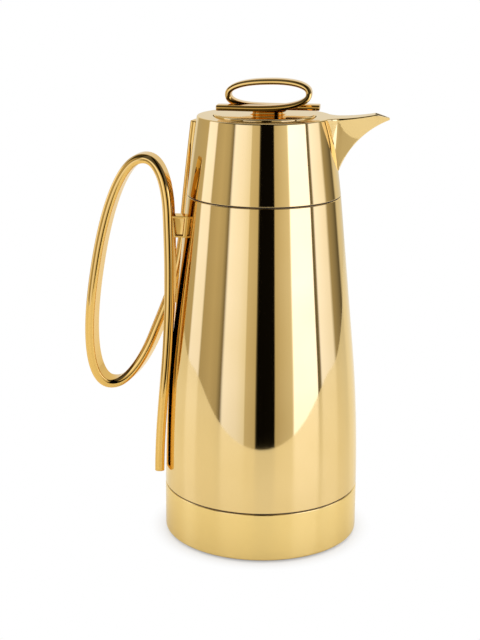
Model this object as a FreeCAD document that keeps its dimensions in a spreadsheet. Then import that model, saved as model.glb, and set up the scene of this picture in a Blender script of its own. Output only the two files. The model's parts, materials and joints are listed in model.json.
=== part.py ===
import FreeCAD, Part
import math
import os
import re

import Sketcher
from FreeCAD import Vector

# A vacuum coffee pot of the dallah type: a tapered gold shell round a glass flask, with a beaked spout,
# a ribbon loop for a handle and a push-in stopper that turns to pour.
# Millimetres, +Z up, the origin under the middle of the foot, +X towards the spout.

sizes = {
    # outside of the pot
    "base_radius": 65.0,
    "base_seam_height": 34.0,
    "shell_bend_radius": 950.0,
    "collar_seam_radius": 50.0,
    "collar_seam_height": 230.0,
    "rim_radius": 43.4,
    "rim_height": 281.0,
    "seam_gap": 0.6,
    "seal_inset": 0.4,
    # foot, base ring and bottom cap
    "foot_radius": 57.0,
    "foot_thickness": 2.0,
    "foot_lift": 1.0,
    "tread_radius": 44.0,
    "tread_width": 4.0,
    "tread_depth": 0.8,
    "base_wall": 2.2,
    "base_edge": 1.8,
    "web_height": 5.0,
    "web_thickness": 3.0,
    "cap_bore": 46.0,
    "cap_play": 0.3,
    "spigot_height": 8.0,
    "spigot_wall": 2.2,
    "spanner_radius": 4.0,
    "spanner_pitch": 24.0,
    "spanner_depth": 1.5,
    # shell and collar
    "shell_wall": 0.9,
    "tongue_height": 7.0,
    "tongue_play": 0.15,
    "collar_wall": 1.6,
    "collar_top": 2.0,
    "collar_edge": 0.8,
    "lid_opening": 33.0,
    # glass flask
    "jacket_gap": 1.1,
    "flask_wall": 1.5,
    "vacuum_gap": 3.5,
    "flask_bottom": 15.0,
    "flask_corner": 25.0,
    "shoulder_drop": 40.0,
    "flask_neck": 27.5,
    "neck_gap": 1.0,
    "neck_blend": 3.0,
    "mouth_rise": 4.0,
    "lip_height": 3.0,
    "tip_radius": 3.0,
    "tip_length": 4.0,
    "spacer_radius": 4.0,
    "spacer_pitch": 14.0,
    "cushion_bore": 10.0,
    "cushion_radius": 33.0,
    "cushion_slope": 1.5,
    "gasket_thickness": 2.0,
    # neck insert and pouring port
    "insert_bore": 21.0,
    "insert_play": 0.4,
    "insert_reach": 10.0,
    "flange_thickness": 3.0,
    "cup_wall": 2.0,
    "port_width": 16.0,
    "port_rise": 12.0,
    "port_cover": 3.4,
    "duct_wall": 2.0,
    "duct_play": 0.3,
    # lid and stopper
    "lid_play": 0.4,
    "lid_proud": 1.2,
    "lid_thickness": 2.6,
    "lid_edge": 0.9,
    "drum_play": 0.6,
    "drum_seat": 4.0,
    "plug_play": 0.7,
    "plug_length": 15.0,
    "stopper_floor": 3.0,
    "stopper_cavity": 22.0,
    "plug_cavity": 12.0,
    "channel_depth": 6.0,
    "seal_rim": 1.6,
    "seal_groove": 3.6,
    "seal_depth": 1.8,
    "seal_play": 0.35,
    "foam_play": 0.3,
    # knob on the lid
    "knob_shift": 2.4,
    "knob_thickness": 3.7,
    "knob_width": 10.0,
    "knob_round": 1.2,
    "knob_half_length": 26.2,
    "knob_half_height": 8.1,
    "knob_lean": 0.04,
    "knob_rise": 8.5,
    "knob_tail": 32.6,
    "knob_flat_share": 0.55,
    "knob_side": 5.3,
    "pedestal_height": 2.2,
    "pedestal_length": 22.8,
    "pedestal_width": 19.0,
    "pedestal_draft": 2.0,
    "knob_screw_radius": 1.5,
    "knob_screw_head": 3.0,
    "knob_screw_head_height": 2.2,
    "knob_screw_bite": 2.2,
    "hole_play": 0.15,
    # handle
    "band_thickness": 6.2,
    "band_width": 13.6,
    "band_round": 1.6,
    "loop_middle": 173.8,
    "loop_half_height": 78.6,
    "loop_half_width": 24.4,
    "loop_reach": 87.8,
    "loop_lean": 0.173,
    "loop_bow": 2.0,
    "crossing_play": 1.1,
    "tail_angle": 17.3,
    "tail_play": 0.6,
    "tail_twist": 11.0,
    "tail_touch": 120.0,
    "tail_low": 44.6,
    "tail_lift": 2.0,
    "tail_high": 275.4,
    "tail_bevel": 0.8,
    # lugs between the handle and the shell
    "lug_width": 10.0,
    "lug_taper": 2.5,
    "upper_lug_height": 211.0,
    "upper_lug_tall": 14.0,
    "lower_lug_height": 157.0,
    "lower_lug_tall": 10.0,
    "screw_radius": 2.0,
    "screw_head": 3.8,
    "screw_head_height": 2.4,
    "screw_bite": 5.0,
    "washer_radius": 6.0,
    "washer_thickness": 2.0,
    # spout
    "spout_reach": 79.6,
    "spout_drop": 35.0,
    "spout_keel_radius": 55.0,
    "spout_root_half": 14.5,
    "spout_flare": 13.0,
    "spout_throat_half": 8.6,
    "spout_lip_half": 7.4,
    "spout_tip_half": 2.2,
    "spout_lip": 9.0,
    "spout_lip_drop": 1.2,
    "spout_rise": 2.6,
    "spout_wall": 1.3,
    "spout_round": 0.7,
    "spout_root_depth": 6.5,
    "spout_keel_share": 0.36,
    "spout_keel_depth": 0.35,
    "spout_flank_hollow": 0.06,
}

doc = FreeCAD.newDocument("CoffeePot")
sheet = doc.addObject("Spreadsheet::Sheet", "Sizes")
for row, (name, number) in enumerate(sizes.items(), start=1):
    sheet.set(f"A{row}", name)
    sheet.set(f"B{row}", str(number))
    sheet.setAlias(f"B{row}", name)
doc.recompute()

pieces = {}
near = 0.01
loop_steps = 10
sections_per_span = 3
outer_shares = (0, 0.12, 0.24, 0.36, 0.52, 0.7, 0.86, 1)
inner_shares = (0, 0.15, 0.3, 0.45, 0.7, 1)


def linked(formula):
    return re.sub(r"[a-z_]+", lambda word: f"Sizes.{word[0]}" if word[0] in sizes else word[0], formula)


def value(formula):
    return float(sheet.evalExpression(linked(formula)))


def bind(item, prop, formula):
    item.setExpression(prop, linked(formula))


# Heights and radii that several pieces share
base_inside = "(base_radius - base_wall)"
base_shoulder = "(base_seam_height - seam_gap)"
base_tongue = "(base_radius - shell_wall - tongue_play)"
collar_shoulder = "(collar_seam_height + seam_gap)"
collar_tongue = "(collar_seam_radius - shell_wall - tongue_play)"
collar_tongue_low = "(collar_seam_height - tongue_height)"
collar_ceiling = "(rim_height - collar_top)"
collar_taper = f"((collar_seam_radius - rim_radius) / (rim_height - {collar_shoulder}))"
collar_inside_low = f"({collar_tongue} - collar_wall)"
collar_inside_high = f"(rim_radius + {collar_taper} * collar_top - collar_wall)"
collar_inside_slope = (
    f"(({collar_inside_low} - {collar_inside_high}) / ({collar_ceiling} - {collar_tongue_low}))"
)
flask_radius = "(collar_seam_radius - shell_wall - jacket_gap)"
flask_shoulder = "(collar_seam_height - shoulder_drop)"
flask_mouth = "(collar_seam_height + mouth_rise)"
flask_space = "(flask_wall + vacuum_gap)"
lip_bore = "(flask_neck - 2 * flask_wall - neck_gap)"
lip_top = f"({flask_mouth} + lip_height)"
flange_low = f"({lip_top} + gasket_thickness)"
flange_top = f"({flange_low} + flange_thickness)"
cup_outside = "(lid_opening + cup_wall)"
lid_top = "(rim_height + lid_proud)"
lid_under = f"({lid_top} - lid_thickness)"
lid_radius = "(lid_opening - lid_play)"
drum_radius = "(lid_opening - drum_play)"
drum_low = f"({flange_top} + drum_seat)"
plug_radius = "(insert_bore - plug_play)"
plug_low = f"({drum_low} - plug_length)"
groove_high = f"({lid_under} - seal_rim)"
groove_low = f"({groove_high} - seal_groove)"
groove_radius = f"({drum_radius} - seal_depth)"
port_low = f"({flange_top} + port_rise)"
port_high = f"({groove_low} - port_cover)"
pedestal_top = f"({lid_top} + pedestal_height)"


def plane(body, role):
    return next(feature for feature in body.Origin.OriginFeatures if feature.Role == role)


def new_sketch(body, role, name, height="0"):
    sketch = body.newObject("Sketcher::SketchObject", name)
    sketch.AttachmentSupport = (plane(body, role), [""])
    sketch.MapMode = "FlatFace"
    bind(sketch, "AttachmentOffset.Base.z", height)
    return sketch


def fix(sketch, kind, formula, *where):
    index = sketch.addConstraint(Sketcher.Constraint(kind, *where, value(formula)))
    bind(sketch, f"Constraints[{index}]", formula)


def arc(start, end, radius, side):
    # an arc of the given radius, bulging to the left of its travel for side 1 and to the right for side -1
    chord = end - start
    half = chord.Length / 2
    sag = radius - math.sqrt(radius ** 2 - half ** 2)
    left = Vector(-chord.y, chord.x, 0).normalize()
    return Part.Arc(start, (start + end) / 2 + left * sag * side, end)


def end_at(sketch, index, spot):
    to_start = sketch.getPoint(index, 1).distanceToPoint(spot)
    to_end = sketch.getPoint(index, 2).distanceToPoint(spot)
    return 1 if to_start < to_end else 2


def draw_outline(sketch, corners):
    # each corner is a radius and a height, and then the radius and side of the arc that leads to it
    spots = [Vector(value(corner[0]), value(corner[1]), 0) for corner in corners]
    count = len(corners)
    for index in range(count):
        start = spots[index]
        end = spots[(index + 1) % count]
        bend = corners[(index + 1) % count][2:]
        if bend:
            sketch.addGeometry(arc(start, end, value(bend[0]), bend[1]))
            fix(sketch, "Radius", bend[0], index)
        else:
            sketch.addGeometry(Part.LineSegment(start, end))
    for index, (across, up) in enumerate(corner[:2] for corner in corners):
        spot = spots[index]
        begins = end_at(sketch, index, spot)
        before = (index - 1) % count
        ends = end_at(sketch, before, spot)
        sketch.addConstraint(Sketcher.Constraint("Coincident", before, ends, index, begins))
        if across == "0":
            sketch.addConstraint(Sketcher.Constraint("PointOnObject", index, begins, -2))
        else:
            fix(sketch, "DistanceX", across, -1, 1, index, begins)
        if up == "0":
            sketch.addConstraint(Sketcher.Constraint("PointOnObject", index, begins, -1))
        else:
            fix(sketch, "DistanceY", up, -1, 1, index, begins)


def turn(body, name, corners):
    sketch = new_sketch(body, "XZ_Plane", f"{name}_outline")
    draw_outline(sketch, corners)
    revolution = body.newObject("PartDesign::Revolution", f"{name}_turned")
    revolution.Profile = sketch
    revolution.ReferenceAxis = (sketch, ["V_Axis"])
    revolution.Angle = 360
    doc.recompute()
    return revolution


def turned(name, corners):
    body = doc.addObject("PartDesign::Body", name)
    turn(body, name, corners)
    return body


def rims(shape, radius, height):
    names = []
    for index, edge in enumerate(shape.Edges, start=1):
        if not isinstance(edge.Curve, Part.Circle):
            continue
        if abs(edge.Curve.Radius - radius) < near and abs(edge.Curve.Center.z - height) < near:
            names.append(f"Edge{index}")
    return names


def round_rim(body, name, radius, height, fillet_radius):
    tip = body.Tip
    fillet = body.newObject("PartDesign::Fillet", name)
    fillet.Base = (tip, rims(tip.Shape, value(radius), value(height)))
    bind(fillet, "Radius", fillet_radius)
    doc.recompute()


def hollow(body, name, wall, open_heights):
    # shells the body inwards, left open at the flat faces of the given heights
    tip = body.Tip
    heights = [value(height) for height in open_heights]
    open_faces = []
    for index, face in enumerate(tip.Shape.Faces, start=1):
        level = face.BoundBox
        if level.ZLength < near and any(abs(level.ZMin - height) < near for height in heights):
            open_faces.append(f"Face{index}")
    thickness = body.newObject("PartDesign::Thickness", name)
    thickness.Base = (tip, open_faces)
    thickness.Reversed = True
    thickness.Join = 1
    bind(thickness, "Value", wall)
    doc.recompute()


def drill(body, name, places, radius, height, depth):
    # round holes upwards from a height
    sketch = new_sketch(body, "XY_Plane", f"{name}_places", height)
    for index, (across, along) in enumerate(places):
        spot = Vector(value(across), value(along), 0)
        sketch.addGeometry(Part.Circle(spot, Vector(0, 0, 1), value(radius)))
        fix(sketch, "Radius", radius, index)
        for kind, formula in (("DistanceX", across), ("DistanceY", along)):
            if formula == "0":
                axis = -2 if kind == "DistanceX" else -1
                sketch.addConstraint(Sketcher.Constraint("PointOnObject", index, 3, axis))
            else:
                fix(sketch, kind, formula, -1, 1, index, 3)
    before = body.Shape.Volume
    pocket = body.newObject("PartDesign::Pocket", name)
    pocket.Profile = sketch
    pocket.Reversed = True
    bind(pocket, "Length", depth)
    doc.recompute()
    if body.Shape.Volume >= before:
        raise RuntimeError(f"{name} cuts nothing")


def notch(body, name, half_width, inner, outer, height, depth):
    # a straight-sided channel upwards from a height, on the side that faces -Y
    sketch = new_sketch(body, "XY_Plane", f"{name}_plan", height)
    corners = [
        (f"-({half_width})", f"-({outer})"),
        (half_width, f"-({outer})"),
        (half_width, f"-({inner})"),
        (f"-({half_width})", f"-({inner})"),
    ]
    draw_outline(sketch, corners)
    before = body.Shape.Volume
    pocket = body.newObject("PartDesign::Pocket", name)
    pocket.Profile = sketch
    pocket.Reversed = True
    bind(pocket, "Length", depth)
    doc.recompute()
    if body.Shape.Volume >= before:
        raise RuntimeError(f"{name} cuts nothing")


def box(name, low, high):
    block = doc.addObject("Part::Box", name)
    for prop, start, end in zip(("Length", "Width", "Height"), low, high):
        bind(block, prop, f"({end}) - ({start})")
    for axis, start in zip("xyz", low):
        bind(block, f"Placement.Base.{axis}", start)
    return block


def cylinder(name, radius, low, high, across="0", along="0"):
    rod = doc.addObject("Part::Cylinder", name)
    bind(rod, "Radius", radius)
    bind(rod, "Height", f"({high}) - ({low})")
    for axis, formula in zip("xyz", (across, along, low)):
        bind(rod, f"Placement.Base.{axis}", formula)
    return rod


def boolean(kind, name, base, tool):
    result = doc.addObject(f"Part::{kind}", name)
    result.Base = base
    result.Tool = tool
    doc.recompute()
    return result


def group(name, items):
    bundle = doc.addObject("Part::Compound", name)
    bundle.Links = items
    doc.recompute()
    return bundle


def shaped(name, shape):
    feature = doc.addObject("Part::Feature", name)
    feature.Shape = shape
    return feature


# Foot pad: rubber, with one tread groove and two holes over the cap's spanner sockets
tread_inside = "(tread_radius - tread_width / 2)"
tread_outside = "(tread_radius + tread_width / 2)"
spanner_places = [("spanner_pitch", "0"), ("-spanner_pitch", "0")]
foot_pad = turned("foot_pad", [
    ("0", "0"),
    (tread_inside, "0"),
    (tread_inside, "tread_depth"),
    (tread_outside, "tread_depth"),
    (tread_outside, "0"),
    ("foot_radius", "0"),
    ("foot_radius", "foot_thickness"),
    ("0", "foot_thickness"),
])
drill(foot_pad, "foot_holes", spanner_places, "spanner_radius", "0", "foot_thickness")
pieces["foot_pad"] = foot_pad

# Base ring: the gold skirt, with an inner web for the cap and a tongue for the shell
base_ring = turned("base_ring", [
    (base_inside, "foot_lift"),
    ("base_radius", "foot_lift"),
    ("base_radius", base_shoulder),
    (base_tongue, base_shoulder),
    (base_tongue, "base_seam_height + tongue_height"),
    (base_inside, "base_seam_height + tongue_height"),
    (base_inside, "web_height + web_thickness"),
    ("cap_bore", "web_height + web_thickness"),
    ("cap_bore", "web_height"),
    (base_inside, "web_height"),
])
round_rim(base_ring, "base_lower_edge", "base_radius", "foot_lift", "base_edge")
pieces["base_ring"] = base_ring

# Bottom cap: screws up into the base ring and presses the cushion against the flask
cap_spigot = "(cap_bore - cap_play)"
bottom_cap = turned("bottom_cap", [
    ("0", "foot_thickness"),
    (f"{base_inside} - cap_play", "foot_thickness"),
    (f"{base_inside} - cap_play", "web_height"),
    (cap_spigot, "web_height"),
    (cap_spigot, "web_height + spigot_height"),
    (f"{cap_spigot} - spigot_wall", "web_height + spigot_height"),
    (f"{cap_spigot} - spigot_wall", "web_height"),
    ("0", "web_height"),
])
drill(bottom_cap, "spanner_sockets", spanner_places, "spanner_radius", "foot_thickness", "spanner_depth")
pieces["bottom_cap"] = bottom_cap

# Dark sealing rings that show as thin lines at the two seams
pieces["base_seal"] = turned("base_seal", [
    (base_tongue, base_shoulder),
    ("base_radius - seal_inset", base_shoulder),
    ("base_radius - seal_inset", "base_seam_height"),
    (base_tongue, "base_seam_height"),
])
pieces["collar_seal"] = turned("collar_seal", [
    (collar_tongue, "collar_seam_height"),
    ("collar_seam_radius - seal_inset", "collar_seam_height"),
    ("collar_seam_radius - seal_inset", collar_shoulder),
    (collar_tongue, collar_shoulder),
])

# Body shell: upright at the base, one long curve, then a straight taper to the collar seam


def shell_tangent():
    radius = value("shell_bend_radius")
    centre = Vector(value("base_radius") - radius, value("base_seam_height"), 0)
    top = Vector(value("collar_seam_radius"), value("collar_seam_height"), 0)
    reach = top - centre
    angle = math.atan2(reach.y, reach.x) - math.acos(radius / reach.Length)
    return centre, angle, centre + Vector(math.cos(angle), math.sin(angle), 0) * radius


def body_radius(height):
    # outside radius of the pot at a height
    centre, angle, tangent = shell_tangent()
    if height <= centre.y:
        return value("base_radius")
    if height <= tangent.y:
        return centre.x + math.sqrt(value("shell_bend_radius") ** 2 - (height - centre.y) ** 2)
    if height <= value("collar_seam_height"):
        return tangent.x - (height - tangent.y) * math.tan(angle)
    return value("collar_seam_radius") - (height - value(collar_shoulder)) * value(collar_taper)


shell_blank = doc.addObject("PartDesign::Body", "shell_blank")
shell_sketch = new_sketch(shell_blank, "XZ_Plane", "shell_outline")
shell_centre, shell_angle, shell_end = shell_tangent()
shell_low = Vector(value("base_radius"), value("base_seam_height"), 0)
shell_high = Vector(value("collar_seam_radius"), value("collar_seam_height"), 0)
axis_low = Vector(0, shell_low.y, 0)
axis_high = Vector(0, shell_high.y, 0)
shell_circle = Part.Circle(shell_centre, Vector(0, 0, 1), value("shell_bend_radius"))
shell_sketch.addGeometry(Part.ArcOfCircle(shell_circle, 0, shell_angle))
shell_corners = [shell_end, shell_high, axis_high, axis_low, shell_low]
for start, end in zip(shell_corners, shell_corners[1:]):
    shell_sketch.addGeometry(Part.LineSegment(start, end))
shell_sketch.addConstraint(Sketcher.Constraint("Tangent", 0, 2, 1, 1))
for line in (1, 2, 3):
    shell_sketch.addConstraint(Sketcher.Constraint("Coincident", line, 2, line + 1, 1))
shell_sketch.addConstraint(Sketcher.Constraint("Coincident", 4, 2, 0, 1))
shell_sketch.addConstraint(Sketcher.Constraint("Horizontal", 2))
shell_sketch.addConstraint(Sketcher.Constraint("PointOnObject", 3, 1, -2))
shell_sketch.addConstraint(Sketcher.Constraint("PointOnObject", 3, 2, -2))
shell_sketch.addConstraint(Sketcher.Constraint("Horizontal", 4))
fix(shell_sketch, "Radius", "shell_bend_radius", 0)
fix(shell_sketch, "DistanceX", "base_radius", -1, 1, 0, 1)
fix(shell_sketch, "DistanceY", "base_seam_height", -1, 1, 0, 1)
fix(shell_sketch, "DistanceY", "base_seam_height", -1, 1, 0, 3)
fix(shell_sketch, "DistanceX", "collar_seam_radius", -1, 1, 1, 2)
fix(shell_sketch, "DistanceY", "collar_seam_height", -1, 1, 1, 2)
shell_form = shell_blank.newObject("PartDesign::Revolution", "shell_form")
shell_form.Profile = shell_sketch
shell_form.ReferenceAxis = (shell_sketch, ["V_Axis"])
shell_form.Angle = 360
doc.recompute()
hollow(shell_blank, "shell_hollow", "shell_wall", ["base_seam_height", "collar_seam_height"])
shell_solid = shell_form.Shape.copy()

# Flask: two glass bottles with a vacuum between them, joined at the lip
outer_flask = turned("outer_flask", [
    ("0", "flask_bottom"),
    (f"{flask_radius} - flask_corner", "flask_bottom"),
    (flask_radius, "flask_bottom + flask_corner", "flask_corner", -1),
    (flask_radius, flask_shoulder),
    ("flask_neck", f"{flask_shoulder} + {flask_radius} - flask_neck", f"{flask_radius} - flask_neck", -1),
    ("flask_neck", flask_mouth),
    ("0", flask_mouth),
])
round_rim(outer_flask, "outer_neck_blend", "flask_neck", f"{flask_shoulder} + {flask_radius} - flask_neck",
          "neck_blend")
hollow(outer_flask, "outer_flask_hollow", "flask_wall", [flask_mouth])
turn(outer_flask, "sealing_tip", [
    ("0", "flask_bottom - tip_length"),
    ("tip_radius / 3", "flask_bottom - tip_length"),
    ("tip_radius", "flask_bottom - tip_length / 3"),
    ("tip_radius", "flask_bottom + flask_wall / 2"),
    ("0", "flask_bottom + flask_wall / 2"),
])
pieces["outer_flask"] = outer_flask

inner_radius = f"({flask_radius} - {flask_space})"
inner_bottom = f"(flask_bottom + {flask_space})"
inner_corner = f"(flask_corner - {flask_space})"
inner_neck = f"({lip_bore} + flask_wall)"
inner_curve = f"({flask_radius} - flask_neck - {flask_space})"
inner_flask = turned("inner_flask", [
    ("0", inner_bottom),
    (f"{inner_radius} - {inner_corner}", inner_bottom),
    (inner_radius, f"{inner_bottom} + {inner_corner}", inner_corner, -1),
    (inner_radius, flask_shoulder),
    (f"{inner_radius} - {inner_curve}", f"{flask_shoulder} + {inner_curve}", inner_curve, -1),
    (inner_neck, f"{flask_shoulder} + {inner_curve}"),
    (inner_neck, flask_mouth),
    ("0", flask_mouth),
])
round_rim(inner_flask, "inner_neck_blend", inner_neck, f"{flask_shoulder} + {inner_curve}", "neck_blend")
hollow(inner_flask, "inner_flask_hollow", "flask_wall", [flask_mouth])
turn(inner_flask, "flask_lip", [
    (lip_bore, flask_mouth),
    ("flask_neck", flask_mouth),
    ("flask_neck", lip_top),
    (lip_bore, lip_top),
])
pieces["inner_flask"] = inner_flask

spacers = []
for place in range(3):
    angle = f"{place * 120} deg"
    spacers.append(cylinder(
        f"spacer_{place + 1}", "spacer_radius", "flask_bottom + flask_wall", inner_bottom,
        f"spacer_pitch * cos({angle})", f"spacer_pitch * sin({angle})"))
pieces["flask_spacers"] = group("flask_spacers", spacers)

pieces["flask_cushion"] = turned("flask_cushion", [
    ("cushion_bore", "web_height"),
    ("cushion_radius", "web_height"),
    ("cushion_radius", "flask_bottom - cushion_slope"),
    (f"{flask_radius} - flask_corner", "flask_bottom"),
    ("cushion_bore", "flask_bottom"),
])
pieces["mouth_gasket"] = turned("mouth_gasket", [
    (lip_bore, lip_top),
    ("flask_neck + neck_gap", lip_top),
    ("flask_neck + neck_gap", flange_low),
    (lip_bore, flange_low),
])

# Collar: the upper band of the pot with its flat top, and a port through to the spout
port = box(
    "port", ("insert_bore", "-port_width / 2", port_low), ("base_radius", "port_width / 2", port_high))
collar_blank = turned("collar_blank", [
    (collar_inside_low, collar_tongue_low),
    (collar_tongue, collar_tongue_low),
    (collar_tongue, collar_shoulder),
    ("collar_seam_radius", collar_shoulder),
    ("rim_radius", "rim_height"),
    ("lid_opening", "rim_height"),
    ("lid_opening", collar_ceiling),
    (collar_inside_high, collar_ceiling),
])
round_rim(collar_blank, "collar_top_edge", "rim_radius", "rim_height", "collar_edge")
collar = boolean("Cut", "collar", collar_blank, port)
pieces["collar"] = collar

# Neck insert: seats on the flask's gasket, holds the stopper and leads the coffee to the port
insert_draw_in = f"(({flange_top} - {collar_tongue_low}) * {collar_inside_slope})"
insert_outside = f"({collar_inside_low} - {insert_draw_in} - duct_play)"
insert_blank = turned("insert_blank", [
    ("insert_bore", f"{flange_low} - insert_reach"),
    (f"{lip_bore} - insert_play", f"{flange_low} - insert_reach"),
    (f"{lip_bore} - insert_play", flange_low),
    (insert_outside, flange_low),
    (insert_outside, flange_top),
    (cup_outside, flange_top),
    (cup_outside, collar_ceiling),
    ("lid_opening", collar_ceiling),
    ("lid_opening", flange_top),
    ("insert_bore", flange_top),
])
duct_block = box(
    "duct_block",
    ("insert_bore", "-port_width / 2 - duct_wall", f"{port_low} - duct_wall"),
    ("base_radius", "port_width / 2 + duct_wall", f"{port_high} + duct_wall"))
duct_limit = doc.addObject("Part::Cone", "duct_limit")
bind(duct_limit, "Radius1", insert_outside)
bind(duct_limit, "Radius2", f"{collar_inside_high} - duct_play")
bind(duct_limit, "Height", f"{collar_ceiling} - {flange_top}")
bind(duct_limit, "Placement.Base.z", flange_top)
duct = boolean("Common", "duct", duct_block, duct_limit)
insert_with_duct = boolean("Fuse", "insert_with_duct", insert_blank, duct)
cup_space = cylinder("cup_space", "lid_opening", flange_top, "rim_height")
insert_bored = boolean("Cut", "insert_bored", insert_with_duct, cup_space)
pieces["neck_insert"] = boolean("Cut", "neck_insert", insert_bored, port)

# Lid: a gold disc on a hollow stopper, which turns so that its channel faces the port
screw_places = [("knob_shift", "knob_side"), ("knob_shift", "-knob_side")]
knob_hole = "(knob_screw_radius + hole_play)"
lid_plate = turned("lid_plate", [
    ("0", lid_under),
    (lid_radius, lid_under),
    (lid_radius, lid_top),
    ("0", lid_top),
])
round_rim(lid_plate, "lid_rounded_edge", lid_radius, lid_top, "lid_edge")
drill(lid_plate, "lid_holes", screw_places, knob_hole, lid_under, "lid_thickness")
pieces["lid_plate"] = lid_plate

cavity_floor = f"({drum_low} + stopper_floor)"
plug_floor = f"({plug_low} + stopper_floor)"
stopper_body = turned("stopper_body", [
    ("0", plug_low),
    (plug_radius, plug_low),
    (plug_radius, drum_low),
    (drum_radius, drum_low),
    (drum_radius, groove_low),
    (groove_radius, groove_low),
    (groove_radius, groove_high),
    (drum_radius, groove_high),
    (drum_radius, lid_under),
    ("stopper_cavity", lid_under),
    ("stopper_cavity", cavity_floor),
    ("plug_cavity", cavity_floor),
    ("plug_cavity", plug_floor),
    ("0", plug_floor),
])
notch(stopper_body, "pour_channel", "port_width / 2", f"{drum_radius} - channel_depth", "lid_opening",
      drum_low, f"{port_high} - {drum_low}")
notch(stopper_body, "plug_flute", "port_width / 2", f"{plug_radius} - channel_depth", "insert_bore",
      plug_low, "plug_length")
pieces["stopper_body"] = stopper_body

foam_top = f"({lid_under} - knob_screw_head_height - foam_play)"
pieces["stopper_foam"] = turned("stopper_foam", [
    ("0", plug_floor),
    ("plug_cavity - foam_play", plug_floor),
    ("plug_cavity - foam_play", cavity_floor),
    ("stopper_cavity - foam_play", cavity_floor),
    ("stopper_cavity - foam_play", foam_top),
    ("0", foam_top),
])
pieces["stopper_seal"] = turned("stopper_seal", [
    (f"{groove_radius} + seal_play", groove_low),
    ("lid_opening - seal_play", groove_low),
    ("lid_opening - seal_play", f"{groove_high} - seal_play"),
    (f"{groove_radius} + seal_play", f"{groove_high} - seal_play"),
])

# Ribbon loops: a flat band whose two tails cross behind a tall oval loop


def oval(reach, crossing, half_long, half_wide, side):
    # points of the loop from the near tail's tangent round to the far tail's,
    # each a distance along, a distance out and a distance aside
    tangent = math.acos(-half_wide / (reach - crossing))
    points = []
    for step in range(loop_steps + 1):
        share = 1 - 2 * step / loop_steps
        turn_angle = tangent * share
        points.append((
            half_long * math.sin(turn_angle),
            reach + half_wide * math.cos(turn_angle),
            -side * math.sin(math.pi / 2 * share),
        ))
    return points


def band_section(place, travel, across, thickness, width, rounding):
    # a rounded rectangle square to the travel, its width laid along the across direction
    forward = Vector(travel).normalize()
    out = forward.cross(across).normalize()
    wide = out.cross(forward)
    half_out = thickness / 2
    half_wide = width / 2
    bevel = rounding * (1 - math.sqrt(0.5))

    def at(a, b):
        return place + wide * a + out * b

    edges = []
    for a_sign, b_sign, long_side in ((1, 1, True), (-1, 1, False), (-1, -1, True), (1, -1, False)):
        before = at(a_sign * half_wide, b_sign * (half_out - rounding))
        after = at(a_sign * (half_wide - rounding), b_sign * half_out)
        middle = at(a_sign * (half_wide - bevel), b_sign * (half_out - bevel))
        if long_side:
            following = at(-a_sign * (half_wide - rounding), b_sign * half_out)
            edges.append(Part.Arc(before, middle, after).toShape())
            edges.append(Part.LineSegment(after, following).toShape())
        else:
            following = at(a_sign * half_wide, -b_sign * (half_out - rounding))
            edges.append(Part.Arc(after, middle, before).toShape())
            edges.append(Part.LineSegment(before, following).toShape())
    return Part.Wire(edges)


def band(points, sides, thickness, width, rounding, bevel):
    # a solid band along a smooth line through the points; sides gives its width direction at each point
    line = Part.BSplineCurve()
    lengths = [0.0]
    for before, after in zip(points, points[1:]):
        lengths.append(lengths[-1] + (after - before).Length)
    line.interpolate(Points=points, Parameters=lengths)
    steps = sections_per_span * (len(points) - 1)

    def side_at(along):
        for index in range(len(lengths) - 1):
            if along <= lengths[index + 1]:
                break
        share = (along - lengths[index]) / (lengths[index + 1] - lengths[index])
        return sides[index] * (1 - share) + sides[index + 1] * share

    def section(along, inset):
        return band_section(line.value(along), line.tangent(along)[0], side_at(along),
                            thickness - 2 * inset, width - 2 * inset, rounding - inset)

    stations = [bevel + (lengths[-1] - 2 * bevel) * step / steps for step in range(steps + 1)]
    solid = Part.makeLoft([section(along, 0) for along in stations], True, False)
    for full, end in ((stations[0], 0.0), (stations[-1], lengths[-1])):
        solid = solid.fuse(Part.makeLoft([section(full, 0), section(end, bevel)], True, True))
    return solid.removeSplitter()


# Knob: the loop lies along X above the lid, on a flared pedestal
knob_centre = value(f"{pedestal_top} + knob_thickness / 2")
knob_shift = value("knob_shift")
knob_tail = value("knob_tail")
knob_side = value("knob_side")
knob_lean = value("knob_lean")
knob_flat_ends = (knob_tail, knob_tail * value("knob_flat_share"))
knob_flat = [Vector(knob_shift - reach, -knob_side, knob_centre) for reach in knob_flat_ends]
knob_points = list(knob_flat)
knob_oval = oval(value("knob_rise"), 0, value("knob_half_length"), value("knob_half_height"), knob_side)
for along, out, aside in knob_oval:
    knob_points.append(Vector(knob_shift + along, aside, knob_centre + out + knob_lean * along))
for spot in reversed(knob_flat):
    knob_points.append(Vector(2 * knob_shift - spot.x, knob_side, knob_centre))
knob_solid = band(
    knob_points, [Vector(0, 1, 0)] * len(knob_points),
    value("knob_thickness"), value("knob_width"), value("knob_round"), value("tail_bevel"))


def stadium(length, width, height):
    half = width / 2
    reach = length / 2 - half
    edges = []
    for side in (1, -1):
        centre = Vector(knob_shift + side * reach, 0, height)
        corners = [Vector(0, -side * half, 0), Vector(side * half, 0, 0), Vector(0, side * half, 0)]
        for first, second in zip(corners, corners[1:]):
            middle = (first + second).normalize() * half
            edges.append(Part.Arc(centre + first, centre + middle, centre + second).toShape())
        across = centre + corners[2]
        edges.append(Part.LineSegment(across, across - Vector(2 * side * reach, 0, 0)).toShape())
    return Part.Wire(edges)


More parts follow.
